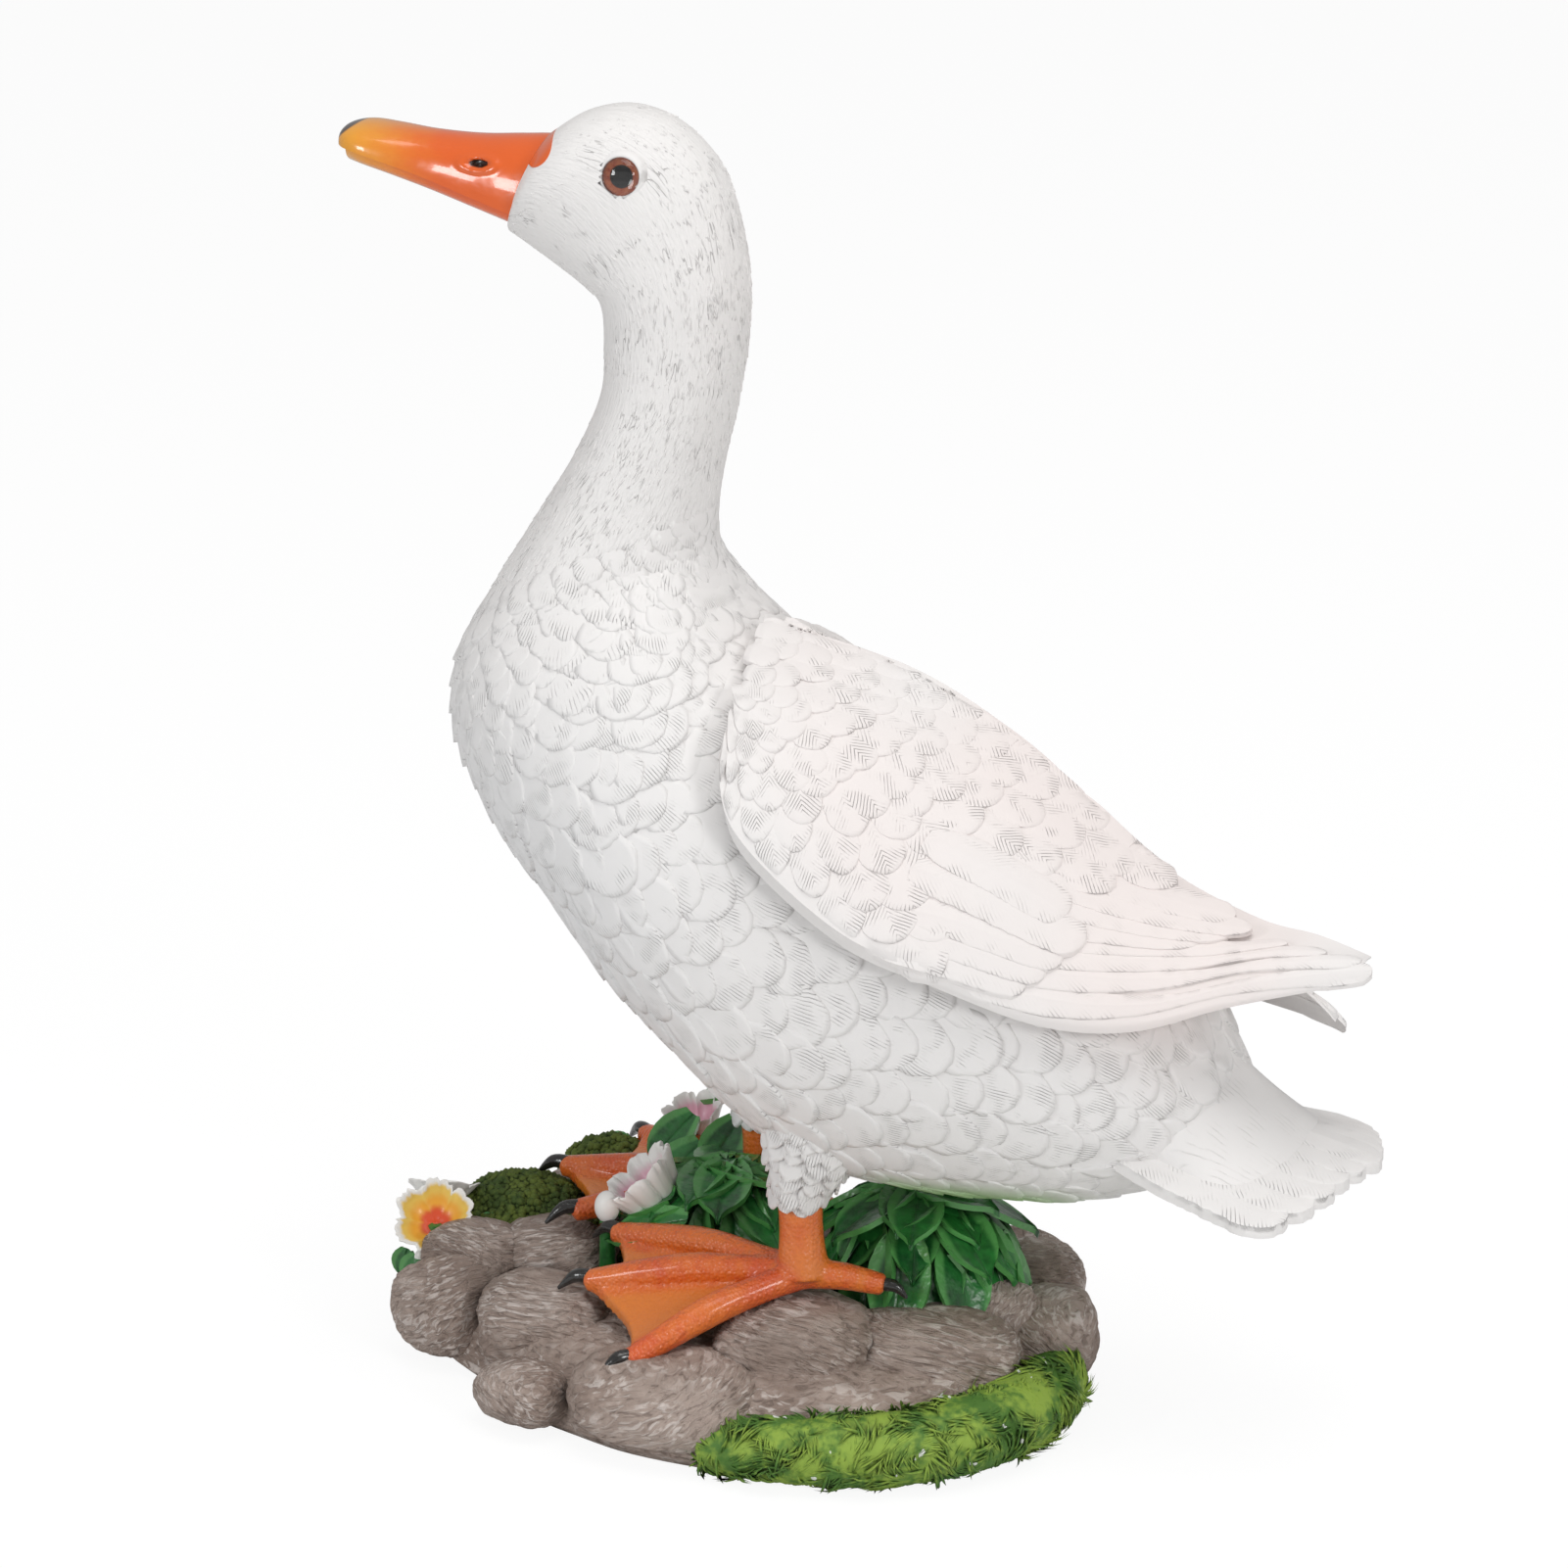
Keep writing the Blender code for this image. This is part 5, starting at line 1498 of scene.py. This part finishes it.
def make_foot(side):
    ankle = on_duck(ANKLE_X[side], side * STANCE / 2, ANKLE_HEIGHT)
    knee = ankle + mm(-1.0, 0.0, THIGH_DROP + 2.0)
    shell, claws = bmesh.new(), bmesh.new()
    shank = smooth_run([knee, (knee + ankle) / 2, ankle])
    add_rod(shell, shank, run_of([SHANK_DIAMETER / share for share in (2, 2.2, 1.8)]))
    ends, ridge = [], []
    for turn, reach, drop in TOES[side]:
        ahead = Vector((-cos(radians(turn)), side * sin(radians(turn)), 0.0))
        ends.append(ankle + ahead * reach * MM - mm(0, 0, drop))
        ridge += add_toe(shell, claws, ankle, ends[-1], ahead)
    for a, b in zip(ends, ends[1:]):
        add_web(shell, ankle, a, b)
    bmesh.ops.remove_doubles(shell, verts=shell.verts[:], dist=0.00001)
    hind = ankle + mm(HIND_TOE_LENGTH, -side * 4.0, -2.0)
    add_rod(shell, smooth_run([ankle, (ankle + hind) / 2 + mm(0, 0, 0.8), hind]),
            run_of([TOE_DIAMETER / share for share in (2, 2.3, 2.9)]))
    hind_claw = [hind - mm(1.5, 0, 0), hind + mm(CLAW_LENGTH / 2, 0, 0), hind + mm(CLAW_LENGTH, 0, -3.0)]
    add_rod(claws, smooth_run(hind_claw), run_of([2.0, 1.7, 0.5]), 12)
    foot = to_object(SIDES[side] + "_foot", shell, FOOT_PAINT)
    melt(foot, 3)
    ridge += shank + [hind, (ankle + hind) / 2]
    nearest = KDTree(len(ridge))
    for index, place in enumerate(ridge):
        nearest.insert(place, index)
    nearest.balance()
    store(foot.data, "ridge_gap", [nearest.find(v.co)[2] / MM for v in foot.data.vertices])
    hand_over(foot)
    hand_over(to_object(SIDES[side] + "_claws", claws, CLAW_PAINT))
    return ankle, knee


def foot_paint():
    paint = Paint("foot_orange", 0.30, coat=0.5, coat_roughness=0.16)
    web = paint.attribute("ridge_gap").ramp(4.6, 8.5)
    colour = paint.speckle(45.0).ramp(0.36, 0.64).mix((0.66, 0.095, 0.018), (0.76, 0.17, 0.022))
    colour = (web * 0.85).mix(colour, (0.74, 0.215, 0.025))
    # Painted shade: a darker red-orange in the narrow places where toes, webs and shank meet, found by
    # occlusion.
    colour = (paint.crevice_shade(0.006).ramp(0.4, 0.9) * 0.6).mix(colour, (0.45, 0.055, 0.012))
    pebbles = add_node(paint.tree, "ShaderNodeTexVoronoi", {"Vector": paint.place(), "Scale": 900.0})
    height = (1.0 - Value(paint.tree, pebbles.outputs["Distance"])) * (1.0 - web * 0.6)
    return paint.finish(colour, height, 0.0004)


def claw_paint():
    paint = Paint("claw_black", 0.22, coat=0.5)
    place = paint.place()
    colour = place.noise(300.0).mix((0.006, 0.006, 0.006), (0.022, 0.020, 0.018))
    return paint.finish(colour, place.noise(500.0), 0.0003)


FOOT_PAINT = foot_paint()
CLAW_PAINT = claw_paint()
LEGS = {side: make_foot(side) for side in SIDES}

# %% [markdown]
# Short soft feathers cover each thigh down to a ragged hem above the shank. They are the small scales
# again, laid in rings round a tapering rod.

# %% Thighs
THIGH_ROWS = 10
THIGH_SCALE = (8.4, 11.0, 0.5)
THIGH_PITCH = 6.5


def make_thigh(side):
    ankle, knee = LEGS[side]
    hip = ankle + mm(8.0, 0.0, 55.5)
    points = smooth_run([hip, (hip * 2 + knee) / 3, knee])
    radii = run_of([THIGH_WIDTH / 2, THIGH_WIDTH / 2.2, SHANK_DIAMETER / 2 + 1.0])
    shell = bmesh.new()
    add_rod(shell, points, radii, 32)
    core = to_object(SIDES[side] + "_thigh", shell, HAIR_PAINT)
    store(core.data, "flow", [(v.co.x, v.co.y, v.co.z * 0.2) for v in core.data.vertices])
    hand_over(core)
    spots = []
    for row in range(THIGH_ROWS):
        t = 0.12 + 0.86 * row / (THIGH_ROWS - 1)
        middle, radius = Vector(spline(points, t)), value_at(radii, t)
        ahead = (Vector(spline(points, min(t + 0.05, 1.0))) - Vector(spline(points, t - 0.05))).normalized()
        count = max(9, round(2 * pi * radius / THIGH_PITCH))
        for k in range(count):
            turn = 2 * pi * (k + 0.5 * (row % 2)) / count
            out = flat_to(Vector((cos(turn), sin(turn), 0.0)), ahead)
            start = middle + out * (radius - 0.7) * MM - ahead * 4.0 * MM
            spots.append((start, out, ahead, THIGH_SCALE))
    hem = grow(SIDES[side] + "_thigh_scales", spots, SMALL_SCALE, SCALE_PAINT, 51, radians(2.2),
               0.02, 0.14, 0.12)
    hand_over(hem)


for leg_side in SIDES:
    make_thigh(leg_side)

# %% [markdown]
# The base is a flat-bottomed mound of rounded stones. Each stone starts as a ball that is squared off a
# little, dented by noise and cut level underneath. The paint is a taupe grey with pale dry-brushed streaks,
# and painted shade darkens the joints. The streaks follow a stretched place that each stone turns its own
# way.

# %% Ground and stones
BASE_OUTLINE = (
    (-104, 6), (-98, -10), (-86, -30), (-66, -46), (-50, -62), (-30, -72), (-8, -80), (22, -83), (54, -80),
    (82, -66), (95, -38), (96, -4), (92, 28), (76, 52), (42, 66), (-4, 70), (-50, 66), (-90, 44),
)
BASE_HEIGHT = 27.0
# (share of the base's height, share of its outline)
BASE_PROFILE = ((0.0, 0.88), (1 / 9, 0.93), (0.5, 0.90), (0.75, 0.80), (0.85, 0.6))
UNDERSIDE_GAP = 0.8
STREAK_STRETCH = 3.2
FRONT_STONES = 9
# (x, y, middle height, half length, half depth, half height, turn in degrees)
STONES = (
    (-80, -8, 24, 15, 15, 12, -20),
    (-82, -22, 15, 17, 16, 14, -30),
    (-86, 22, 18, 18, 22, 15, 10),
    (-60, 2, 24, 18, 16, 12, 0),
    (-49, -32, 16, 20, 17, 15, -15),
    (-43, -63, 9, 15, 12, 8, -25),
    (0, -61, 11, 29, 23, 12, -8),
    (27, -34, 18, 24, 22, 17, 4),
    (61, -22, 17, 27, 20, 15, 10),
    (58, 6, 24, 26, 15, 12, -6),
    (84, 14, 15, 14, 20, 13, 4),
    (72, 42, 20, 14, 15, 12, 10),
    (54, 52, 15, 26, 15, 14, 12),
    (20, 54, 16, 26, 17, 15, -10),
    (-22, 54, 17, 28, 17, 16, 4),
    (-62, 50, 17, 26, 17, 16, -14),
    (-14, 24, 24, 34, 25, 14, 0),
)


def rock_paint():
    paint = Paint("rock_taupe", 0.62, specular=0.35)
    place = paint.place()
    strokes = paint.attribute("flow", "Vector").noise(230.0, 4.0, 0.9)
    colour = paint.speckle(45.0).ramp(0.36, 0.62).mix((0.275, 0.208, 0.174), (0.410, 0.328, 0.285))
    dust = strokes.ramp(0.50, 0.62) * place.noise(55.0).ramp(0.36, 0.60) * 0.75
    colour = dust.mix(colour, (0.66, 0.59, 0.55))
    colour = ((-strokes).ramp(-0.42, -0.34) * 0.5).mix(colour, (0.105, 0.075, 0.060))
    # Painted shade: near-black in the joints between stones, found by occlusion.
    colour = (paint.crevice_shade(0.008).ramp(0.30, 0.80) * 0.88).mix(colour, (0.040, 0.028, 0.021))
    paint.put("Roughness", 0.72 - strokes.ramp(0.5, 0.7) * 0.3)
    return paint.finish(colour, strokes + place.noise(420.0, 3.0) * 0.35, 0.0017)


def make_ground():
    middle = [sum(values) / len(BASE_OUTLINE) for values in zip(*BASE_OUTLINE)]
    outline = [spline([*BASE_OUTLINE, BASE_OUTLINE[0]], k / 90) for k in range(90)]
    rings = []
    for height, share in BASE_PROFILE:
        spots = [[m + (value - m) * share for m, value in zip(middle, spot)] for spot in outline]
        rings.append([mm(x, y, height * BASE_HEIGHT) for x, y in spots])
    made = loft("ground", rings, ROCK_PAINT)
    store(made.data, "flow", [(v.co.x, v.co.y, v.co.z * 3.0) for v in made.data.vertices])
    return made


def add_stone(shell, flow, number, x, y, z, length, depth, height, turn):
    """A rounded boulder with dents, level where it would reach the ground."""
    z = max(z, height * 1.1 + UNDERSIDE_GAP)
    stone = bmesh.new()
    bmesh.ops.create_icosphere(stone, subdivisions=5, radius=1.0)
    seat = Matrix.Translation(mm(x, y, z)) @ Matrix.Rotation(radians(turn), 4, "Z")
    offset = Vector((number * 7.3, number * 3.1, number * 1.7))
    brush = Matrix.Rotation(0.9 * sin(2.3 * number), 3, "Y")
    brush = brush @ Matrix.Rotation(0.7 * cos(1.7 * number), 3, "X")
    for vert in stone.verts:
        way = vert.co.normalized()
        blocky = [abs(value) ** 0.80 * (1 if value > 0 else -1) for value in way]
        crease = 1.0 - min(1.0, abs(noise.noise(way * 2.1 - offset)) * 9.0)
        dents = noise.fractal(way * 3.4 + offset, 0.9, 2.2, 3)
        grown = 1.0 + 0.08 * noise.noise(way * 1.3 + offset) + 0.035 * dents - 0.035 * crease
        brushed = brush @ way
        flow.append(Vector((brushed.x, brushed.y, brushed.z * STREAK_STRETCH)) * 0.02 + offset)
        vert.co = seat @ (mm(blocky[0] * length, blocky[1] * depth, blocky[2] * height) * grown)
        vert.co.z = max(vert.co.z, 0.6 * MM)
    copy = bpy.data.meshes.new("stone")
    stone.to_mesh(copy)
    stone.free()
    shell.from_mesh(copy)
    bpy.data.meshes.remove(copy)


ROCK_PAINT = rock_paint()
hand_over(make_ground())
for name, numbers in (("front_stones", range(FRONT_STONES)),
                      ("back_stones", range(FRONT_STONES, len(STONES)))):
    shell, flow = bmesh.new(), []
    for number in numbers:
        add_stone(shell, flow, number, *STONES[number])
    boulders = to_object(name, shell, ROCK_PAINT, 70.0)
    store(boulders.data, "flow", flow)
    hand_over(boulders)

# %% [markdown]
# Leaves are laid like shingles too: in rings round a low dome, each pointing outwards and down. One leaf
# has a cupped blade with a groove along its middle and a thick rounded rim, lighter as a painted highlight.

# %% Leaves
# name, (x, y, middle height), (half length, half depth, half height), leaf length, leaf width
BUSHES = (
    ("right_bush", (47.0, 12.0, 33.0), (26.0, 25.0, 25.0), 30.0, 17.0),
    ("left_bush", (-12.0, 14.0, 33.0), (22.0, 20.0, 23.0), 30.0, 18.0),
)
# (slope from the top, leaves) of each ring of a bush
BUSH_RINGS = ((0.12, 4), (0.45, 7), (0.80, 9), (1.15, 11), (1.48, 12))
# Single leaves: (x, y, height, heading in degrees, dip in degrees, length, width)
LOOSE_LEAVES = (
    (-14.6, -12, 47.5, 180, 13, 28, 13), (-22, -4, 51, 168, 14, 22, 13), (-8, -22, 38, 205, 20, 22, 13),
    (-62, 62, 40, 165, 12, 18, 10), (-30, 64, 58, 150, 5, 18, 10), (-99, -9, 24, 215, 60, 11, 9),
    (-96, -12, 22, 190, 65, 10, 9), (-92, -14, 25, 240, 60, 11, 9), (-104, -5, 24, 225, 70, 10, 8),
    (-80, 5, 33, 200, 40, 11, 11), (-36, 50, 56, 235, 30, 20, 13), (-18, 40, 60, 260, 25, 22, 14),
    (-26, 30, 55, 230, 30, 22, 14),
)
LOOSE_FACING = Vector((0.1, -0.5, 1.0))
LEAF_OUTLINE = (0.22, 0.42, 0.50, 0.48, 0.36, 0.06)
LEAF = make_unit_feather("leaf", 8, 8, LEAF_OUTLINE, 0.05, -1.3, 1.7, 2.0, 4.5)


def leaf_paint():
    paint = Paint("leaf_green", 0.30, coat=0.45, coat_roughness=0.12)
    off_middle = abs(paint.attribute("strand"))
    colour = paint.speckle(60.0).ramp(0.35, 0.62).mix((0.006, 0.066, 0.014), (0.022, 0.190, 0.034))
    # Painted highlight: a lighter green along the rim of each leaf.
    colour = (off_middle.ramp(0.75, 1.05) * 0.65).mix(colour, (0.13, 0.42, 0.11))
    # Painted shade: near-black green where leaves and the mound meet, found by occlusion.
    colour = (paint.crevice_shade(0.008).ramp(0.3, 0.9) * 0.85).mix(colour, (0.002, 0.012, 0.004))
    vein = off_middle.math("SUBTRACT", 1.0, off_middle, clamp=True) ** 8.0
    return paint.finish(colour, paint.place().noise(320.0) - vein, 0.0006)


def dome_spots(middle, radii, leaf_length, leaf_width, seed):
    draw = random.Random(seed)
    middle, radii = Vector(middle), Vector(radii)
    spots = []
    for ring, (slope, count) in enumerate(BUSH_RINGS):
        for k in range(count):
            turn = 2 * pi * (k + 0.5 * (ring % 2) + draw.uniform(-0.15, 0.15)) / count
            s = slope + draw.uniform(-0.06, 0.06)
            way = Vector((sin(s) * cos(turn), sin(s) * sin(turn), cos(s)))
            place = mm(*(middle + way * radii))
            facing = Vector([part / radius for part, radius in zip(way, radii)]).normalized()
            ahead = flat_to(Vector((cos(turn) * cos(s), sin(turn) * cos(s), -sin(s))), facing)
            start = place - ahead * leaf_length * 0.3 * MM - facing * MM
            spots.append((start, facing, ahead, (leaf_width, leaf_length, 1.0)))
    return spots


def loose_spots():
    spots = []
    for x, y, z, heading, dip, length, width in LOOSE_LEAVES:
        flat = cos(radians(dip))
        ahead = Vector((cos(radians(heading)) * flat, sin(radians(heading)) * flat, -sin(radians(dip))))
        spots.append((mm(x, y, z), flat_to(LOOSE_FACING, ahead), ahead, (width, length, 1.0)))
    return spots


LEAF_PAINT = leaf_paint()
for number, (name, middle, radii, leaf_length, leaf_width) in enumerate(BUSHES):
    dome = ball(name + "_mound", mm(*middle), radii, LEAF_PAINT)
    fill(dome, strand=0.5)
    hand_over(dome)
    spots = dome_spots(middle, radii, leaf_length, leaf_width, 60 + number)
    leaves = grow(name + "_leaves", spots, LEAF, LEAF_PAINT, 61, radians(12.0), 0.14, 0.25, 0.15)
    hand_over(leaves)
hand_over(grow("loose_leaves", loose_spots(), LEAF, LEAF_PAINT, 62))

# %% [markdown]
# Moss is a low mound crowded with small lumps, and grass is a bank combed into short curved blades. Both
# are scattered over their mounds by Geometry Nodes with a fixed seed, and the blades lean with a slow
# noise so that they gather in tufts.

# %% Moss and grass
MOSS = ((-79, 24, 26, 20, 20, 13), (-58, 12, 25, 16, 13, 9), (-66, 62, 27, 16, 11, 13))
GRASS_BANK = ((16, -76), (38, -77), (62, -71), (80, -57), (90, -38), (93, -18), (92, -2), (88, 12))
BANK_HEIGHT = 24.0
GROUND_CLEARANCE = 0.3
TUFT_SCALE = 60.0
LUMP_SCATTER = {"Density": 420000.0, "Smallest": 0.7, "Largest": 1.7, "Lean": 0.5, "Tuft scale": TUFT_SCALE,
                "Seed": 3}
BLADE_SCATTER = {"Density": 330000.0, "Smallest": 0.5, "Largest": 1.0, "Lean": 5.5, "Tuft scale": TUFT_SCALE,
                 "Seed": 12}


def build_scatter_tree():
    tree, given, end = new_tree("scatter_on_mound", "GeometryNodeTree", {
        "Geometry": "Geometry", "Shape": "Object", "Material": "Material", "Density": "Float",
        "Smallest": "Float", "Largest": "Float", "Lean": "Float", "Tuft scale": "Float", "Seed": "Int",
    }, "Geometry", "Geometry")
    spread = add_node(tree, "GeometryNodeDistributePointsOnFaces", {
        "Mesh": given["Geometry"], "Density": given["Density"], "Seed": given["Seed"]})
    place = add_node(tree, "GeometryNodeInputPosition")
    wind = add_node(tree, "ShaderNodeTexNoise", {
        "Vector": place.outputs[0], "Scale": given["Tuft scale"], "Detail": 1.0})
    centred = add_node(tree, "ShaderNodeVectorMath", {0: wind.outputs["Color"], 1: (0.5, 0.5, 0.5)},
                       operation="SUBTRACT")
    pushed = add_node(tree, "ShaderNodeVectorMath", {0: centred.outputs[0], "Scale": given["Lean"]},
                      operation="SCALE")
    leaned = add_node(tree, "ShaderNodeVectorMath", {0: spread.outputs["Normal"], 1: pushed.outputs[0]},
                      operation="ADD")
    turn = add_node(tree, "FunctionNodeAxesToRotation", {0: leaned.outputs[0], 1: pushed.outputs[0]},
                    primary_axis="Z", secondary_axis="Y")
    size = add_node(tree, "FunctionNodeRandomValue", {
        2: given["Smallest"], 3: given["Largest"], "Seed": given["Seed"]}, data_type="FLOAT")
    end_tree(tree, given, end, spread.outputs["Points"], turn.outputs[0], size.outputs[1],
             given["Geometry"])
    return tree


def plant_paint(name, painted_shade, middle, light, roughness, reach, specks):
    """A green with painted shade between the blades or lumps, patches of a lighter green and white specks.
    """
    paint = Paint(name, roughness, specular=0.4)
    colour = paint.speckle(80.0).ramp(0.40, 0.60).mix(middle, light)
    # Painted shade between the blades or lumps, found by occlusion.
    colour = paint.crevice_shade(reach).ramp(0.30, 0.95).mix(colour, painted_shade)
    speck = paint.place().noise(210.0, 1.0).ramp(specks, specks + 0.02)
    return paint.finish(speck.mix(colour, (0.75, 0.78, 0.72)))


def make_lump():
    shell = bmesh.new()
    bmesh.ops.create_icosphere(shell, subdivisions=1, radius=1.0 * MM)
    return to_object("moss_lump", shell, None, 180.0)


def make_blade():
    """One grass blade, three-sided, bent over towards its own Y."""
    rings = []
    for k in range(5):
        t = k / 5
        bend = mm(0.0, 6.0 * t * t, 5.5 * t - 1.5)
        radius = (0.85 - 0.60 * t * t) * MM
        rings.append([bend + Vector((cos(a), sin(a), 0.0)) * radius for a in (0.5, 2.6, 4.7)])
    return loft("grass_blade", rings + [[mm(0.0, 7.0, 3.8)]], None, 180.0)


SCATTER = build_scatter_tree()
LUMP = make_lump()
BLADE = make_blade()
MOSS_PAINT = plant_paint("moss_green", (0.010, 0.020, 0.004), (0.045, 0.080, 0.012), (0.11, 0.15, 0.022),
                         0.75, 0.003, 0.80)
GRASS_PAINT = plant_paint("grass_green", (0.022, 0.058, 0.008), (0.070, 0.175, 0.024), (0.27, 0.40, 0.055),
                          0.6, 0.004, 0.735)

for number, (x, y, z, *radii) in enumerate(MOSS):
    mound = ball("moss_%d" % number, mm(x, y, z), radii, bumps=Vector((number, 0, 0)))
    moss = run_tree(mound, SCATTER, {"Shape": LUMP, "Material": MOSS_PAINT, **LUMP_SCATTER})
    hand_over(moss)

last = len(GRASS_BANK) - 1
bank_radii = [BANK_HEIGHT * (0.30 + 0.14 * sin(pi * i / last)) for i in range(last + 1)]
bank_points = [mm(x, y, radius + UNDERSIDE_GAP) for (x, y), radius in zip(GRASS_BANK, bank_radii)]
bank = bmesh.new()
add_rod(bank, smooth_run(bank_points, 40), run_of(bank_radii, 40), 24)
grass = run_tree(to_object("grass", bank), SCATTER, {
    "Shape": BLADE, "Material": GRASS_PAINT, **BLADE_SCATTER})
for vert in grass.data.vertices:
    vert.co.z = max(vert.co.z, GROUND_CLEARANCE * MM)
hand_over(grass)

# %% [markdown]
# Four flowers and two buds grow between the stones. A flower is a fluted cup: its wall is a turned
# profile whose radius waves with the petals, thin at the rim and closed below.

# %% Flowers
# (x, y, rim height, rim radius, petals, tilt in degrees, turn in degrees, hollow, paint)
FLOWERS = (
    (-95, -3, 38, 11.0, 6, 50, 285, 0.55, "yellow"),
    (-27, 3, 56, 12.0, 8, 40, 200, 1.0, "pink"),
    (-38, 60, 54, 8.5, 6, 20, 250, 1.0, "pink"),
    (-98, 8, 40, 10.0, 5, 20, 100, 0.45, "pink"),
)
# (share of the radius, rise, share of the way into the cup)
PETAL_PROFILE = (
    (0.25, -0.22, 0.0), (0.5, 0.02, 0.0), (0.78, 0.4, 0.0), (0.95, 0.8, 0.0), (1.06, 1.05, 0.0),
    (1.04, 1.10, 0.02), (0.96, 1.04, 0.06), (0.86, 0.78, 0.2), (0.68, 0.45, 0.45), (0.40, 0.2, 0.8),
    (0.15, 0.12, 1.0),
)
# (x, y, height, radius)
BUDS = ((-40, -8, 46, 3.6), (-97, -10, 24, 1.9))
STALK_FOOT = 8.0
PETAL_WHITE = (0.84, 0.83, 0.79)


def petal_paint(kind):
    """White petals that turn pink, or yellow, orange and red, towards the heart."""
    paint = Paint("petal_" + kind, 0.42, coat=0.15)
    inside = paint.attribute("depth") + (paint.speckle(130.0) * 0.25 - 0.125)
    if kind == "pink":
        return paint.finish(inside.ramp(0.08, 0.30).mix((0.84, 0.83, 0.80), (0.80, 0.45, 0.55)))
    colour = inside.ramp(0.06, 0.18).mix(PETAL_WHITE, (0.88, 0.62, 0.13))
    colour = inside.ramp(0.22, 0.55).mix(colour, (0.86, 0.40, 0.03))
    return paint.finish(inside.ramp(0.62, 0.88).mix(colour, (0.70, 0.07, 0.012)))


def make_stalk(name, points, radii):
    shell = bmesh.new()
    add_rod(shell, smooth_run(points), run_of(radii))
    stalk = to_object(name, shell, LEAF_PAINT)
    fill(stalk, strand=0.5)
    hand_over(stalk)


def make_flower(number, x, y, rim_height, radius, petals, tilt, turn, hollow, kind):
    sides = petals * 12
    lean = Matrix.Rotation(radians(turn), 3, "Z") @ Matrix.Rotation(radians(tilt), 3, "Y")
    heart = mm(x, y, rim_height - radius * hollow)
    draw = random.Random(number)
    ragged = [draw.uniform(-0.06, 0.06) for _ in range(sides)]
    rings = [[heart + lean @ mm(0, 0, -0.3 * radius)]]
    depth = [0.0]
    for reach, rise, inner in PETAL_PROFILE:
        ring = []
        for j in range(sides):
            angle = 2 * pi * j / sides
            wave = abs(cos(angle * petals / 2)) ** 0.6
            spread = radius * reach * (0.82 + 0.18 * wave + ragged[j] * max(0.0, rise) ** 3)
            lift = radius * (rise * hollow + 0.14 * (wave - 0.7) * max(0.0, rise) ** 2)
            ring.append(heart + lean @ mm(spread * cos(angle), spread * sin(angle), lift))
        rings.append(ring)
        depth += [inner] * sides
    rings.append([heart + lean @ mm(0, 0, 0.16 * radius)])
    made = loft("flower_%d" % number, rings, PETALS[kind], 60.0)
    store(made.data, "depth", depth + [1.0])
    hand_over(made)
    foot = mm(x, y, STALK_FOOT)
    make_stalk("flower_stalk_%d" % number, [foot, (foot + heart) / 2, heart], [4.0, 3.2, 2.6])


PETALS = {kind: petal_paint(kind) for kind in ("yellow", "pink")}
for number, flower in enumerate(FLOWERS):
    make_flower(number, *flower)
for number, (x, y, height, radius) in enumerate(BUDS):
    bud = ball("bud_%d" % number, mm(x, y, height), (radius, radius, radius * 1.3), PETALS["pink"])
    fill(bud, depth=0.0)
    hand_over(bud)
    points = [mm(x, y, z) for z in (STALK_FOOT, height / 2, height)]
    make_stalk("bud_stalk_%d" % number, points, [3.2, 2.6, 2.0])

# %% [markdown]
# The shapes that were copied have done their work and go.

# %% Clear away the copied shapes
for pattern in (SMALL_SCALE, LARGE_SCALE, STROKE, LEAF, LUMP, BLADE):
    bpy.data.objects.remove(pattern, do_unlink=True)
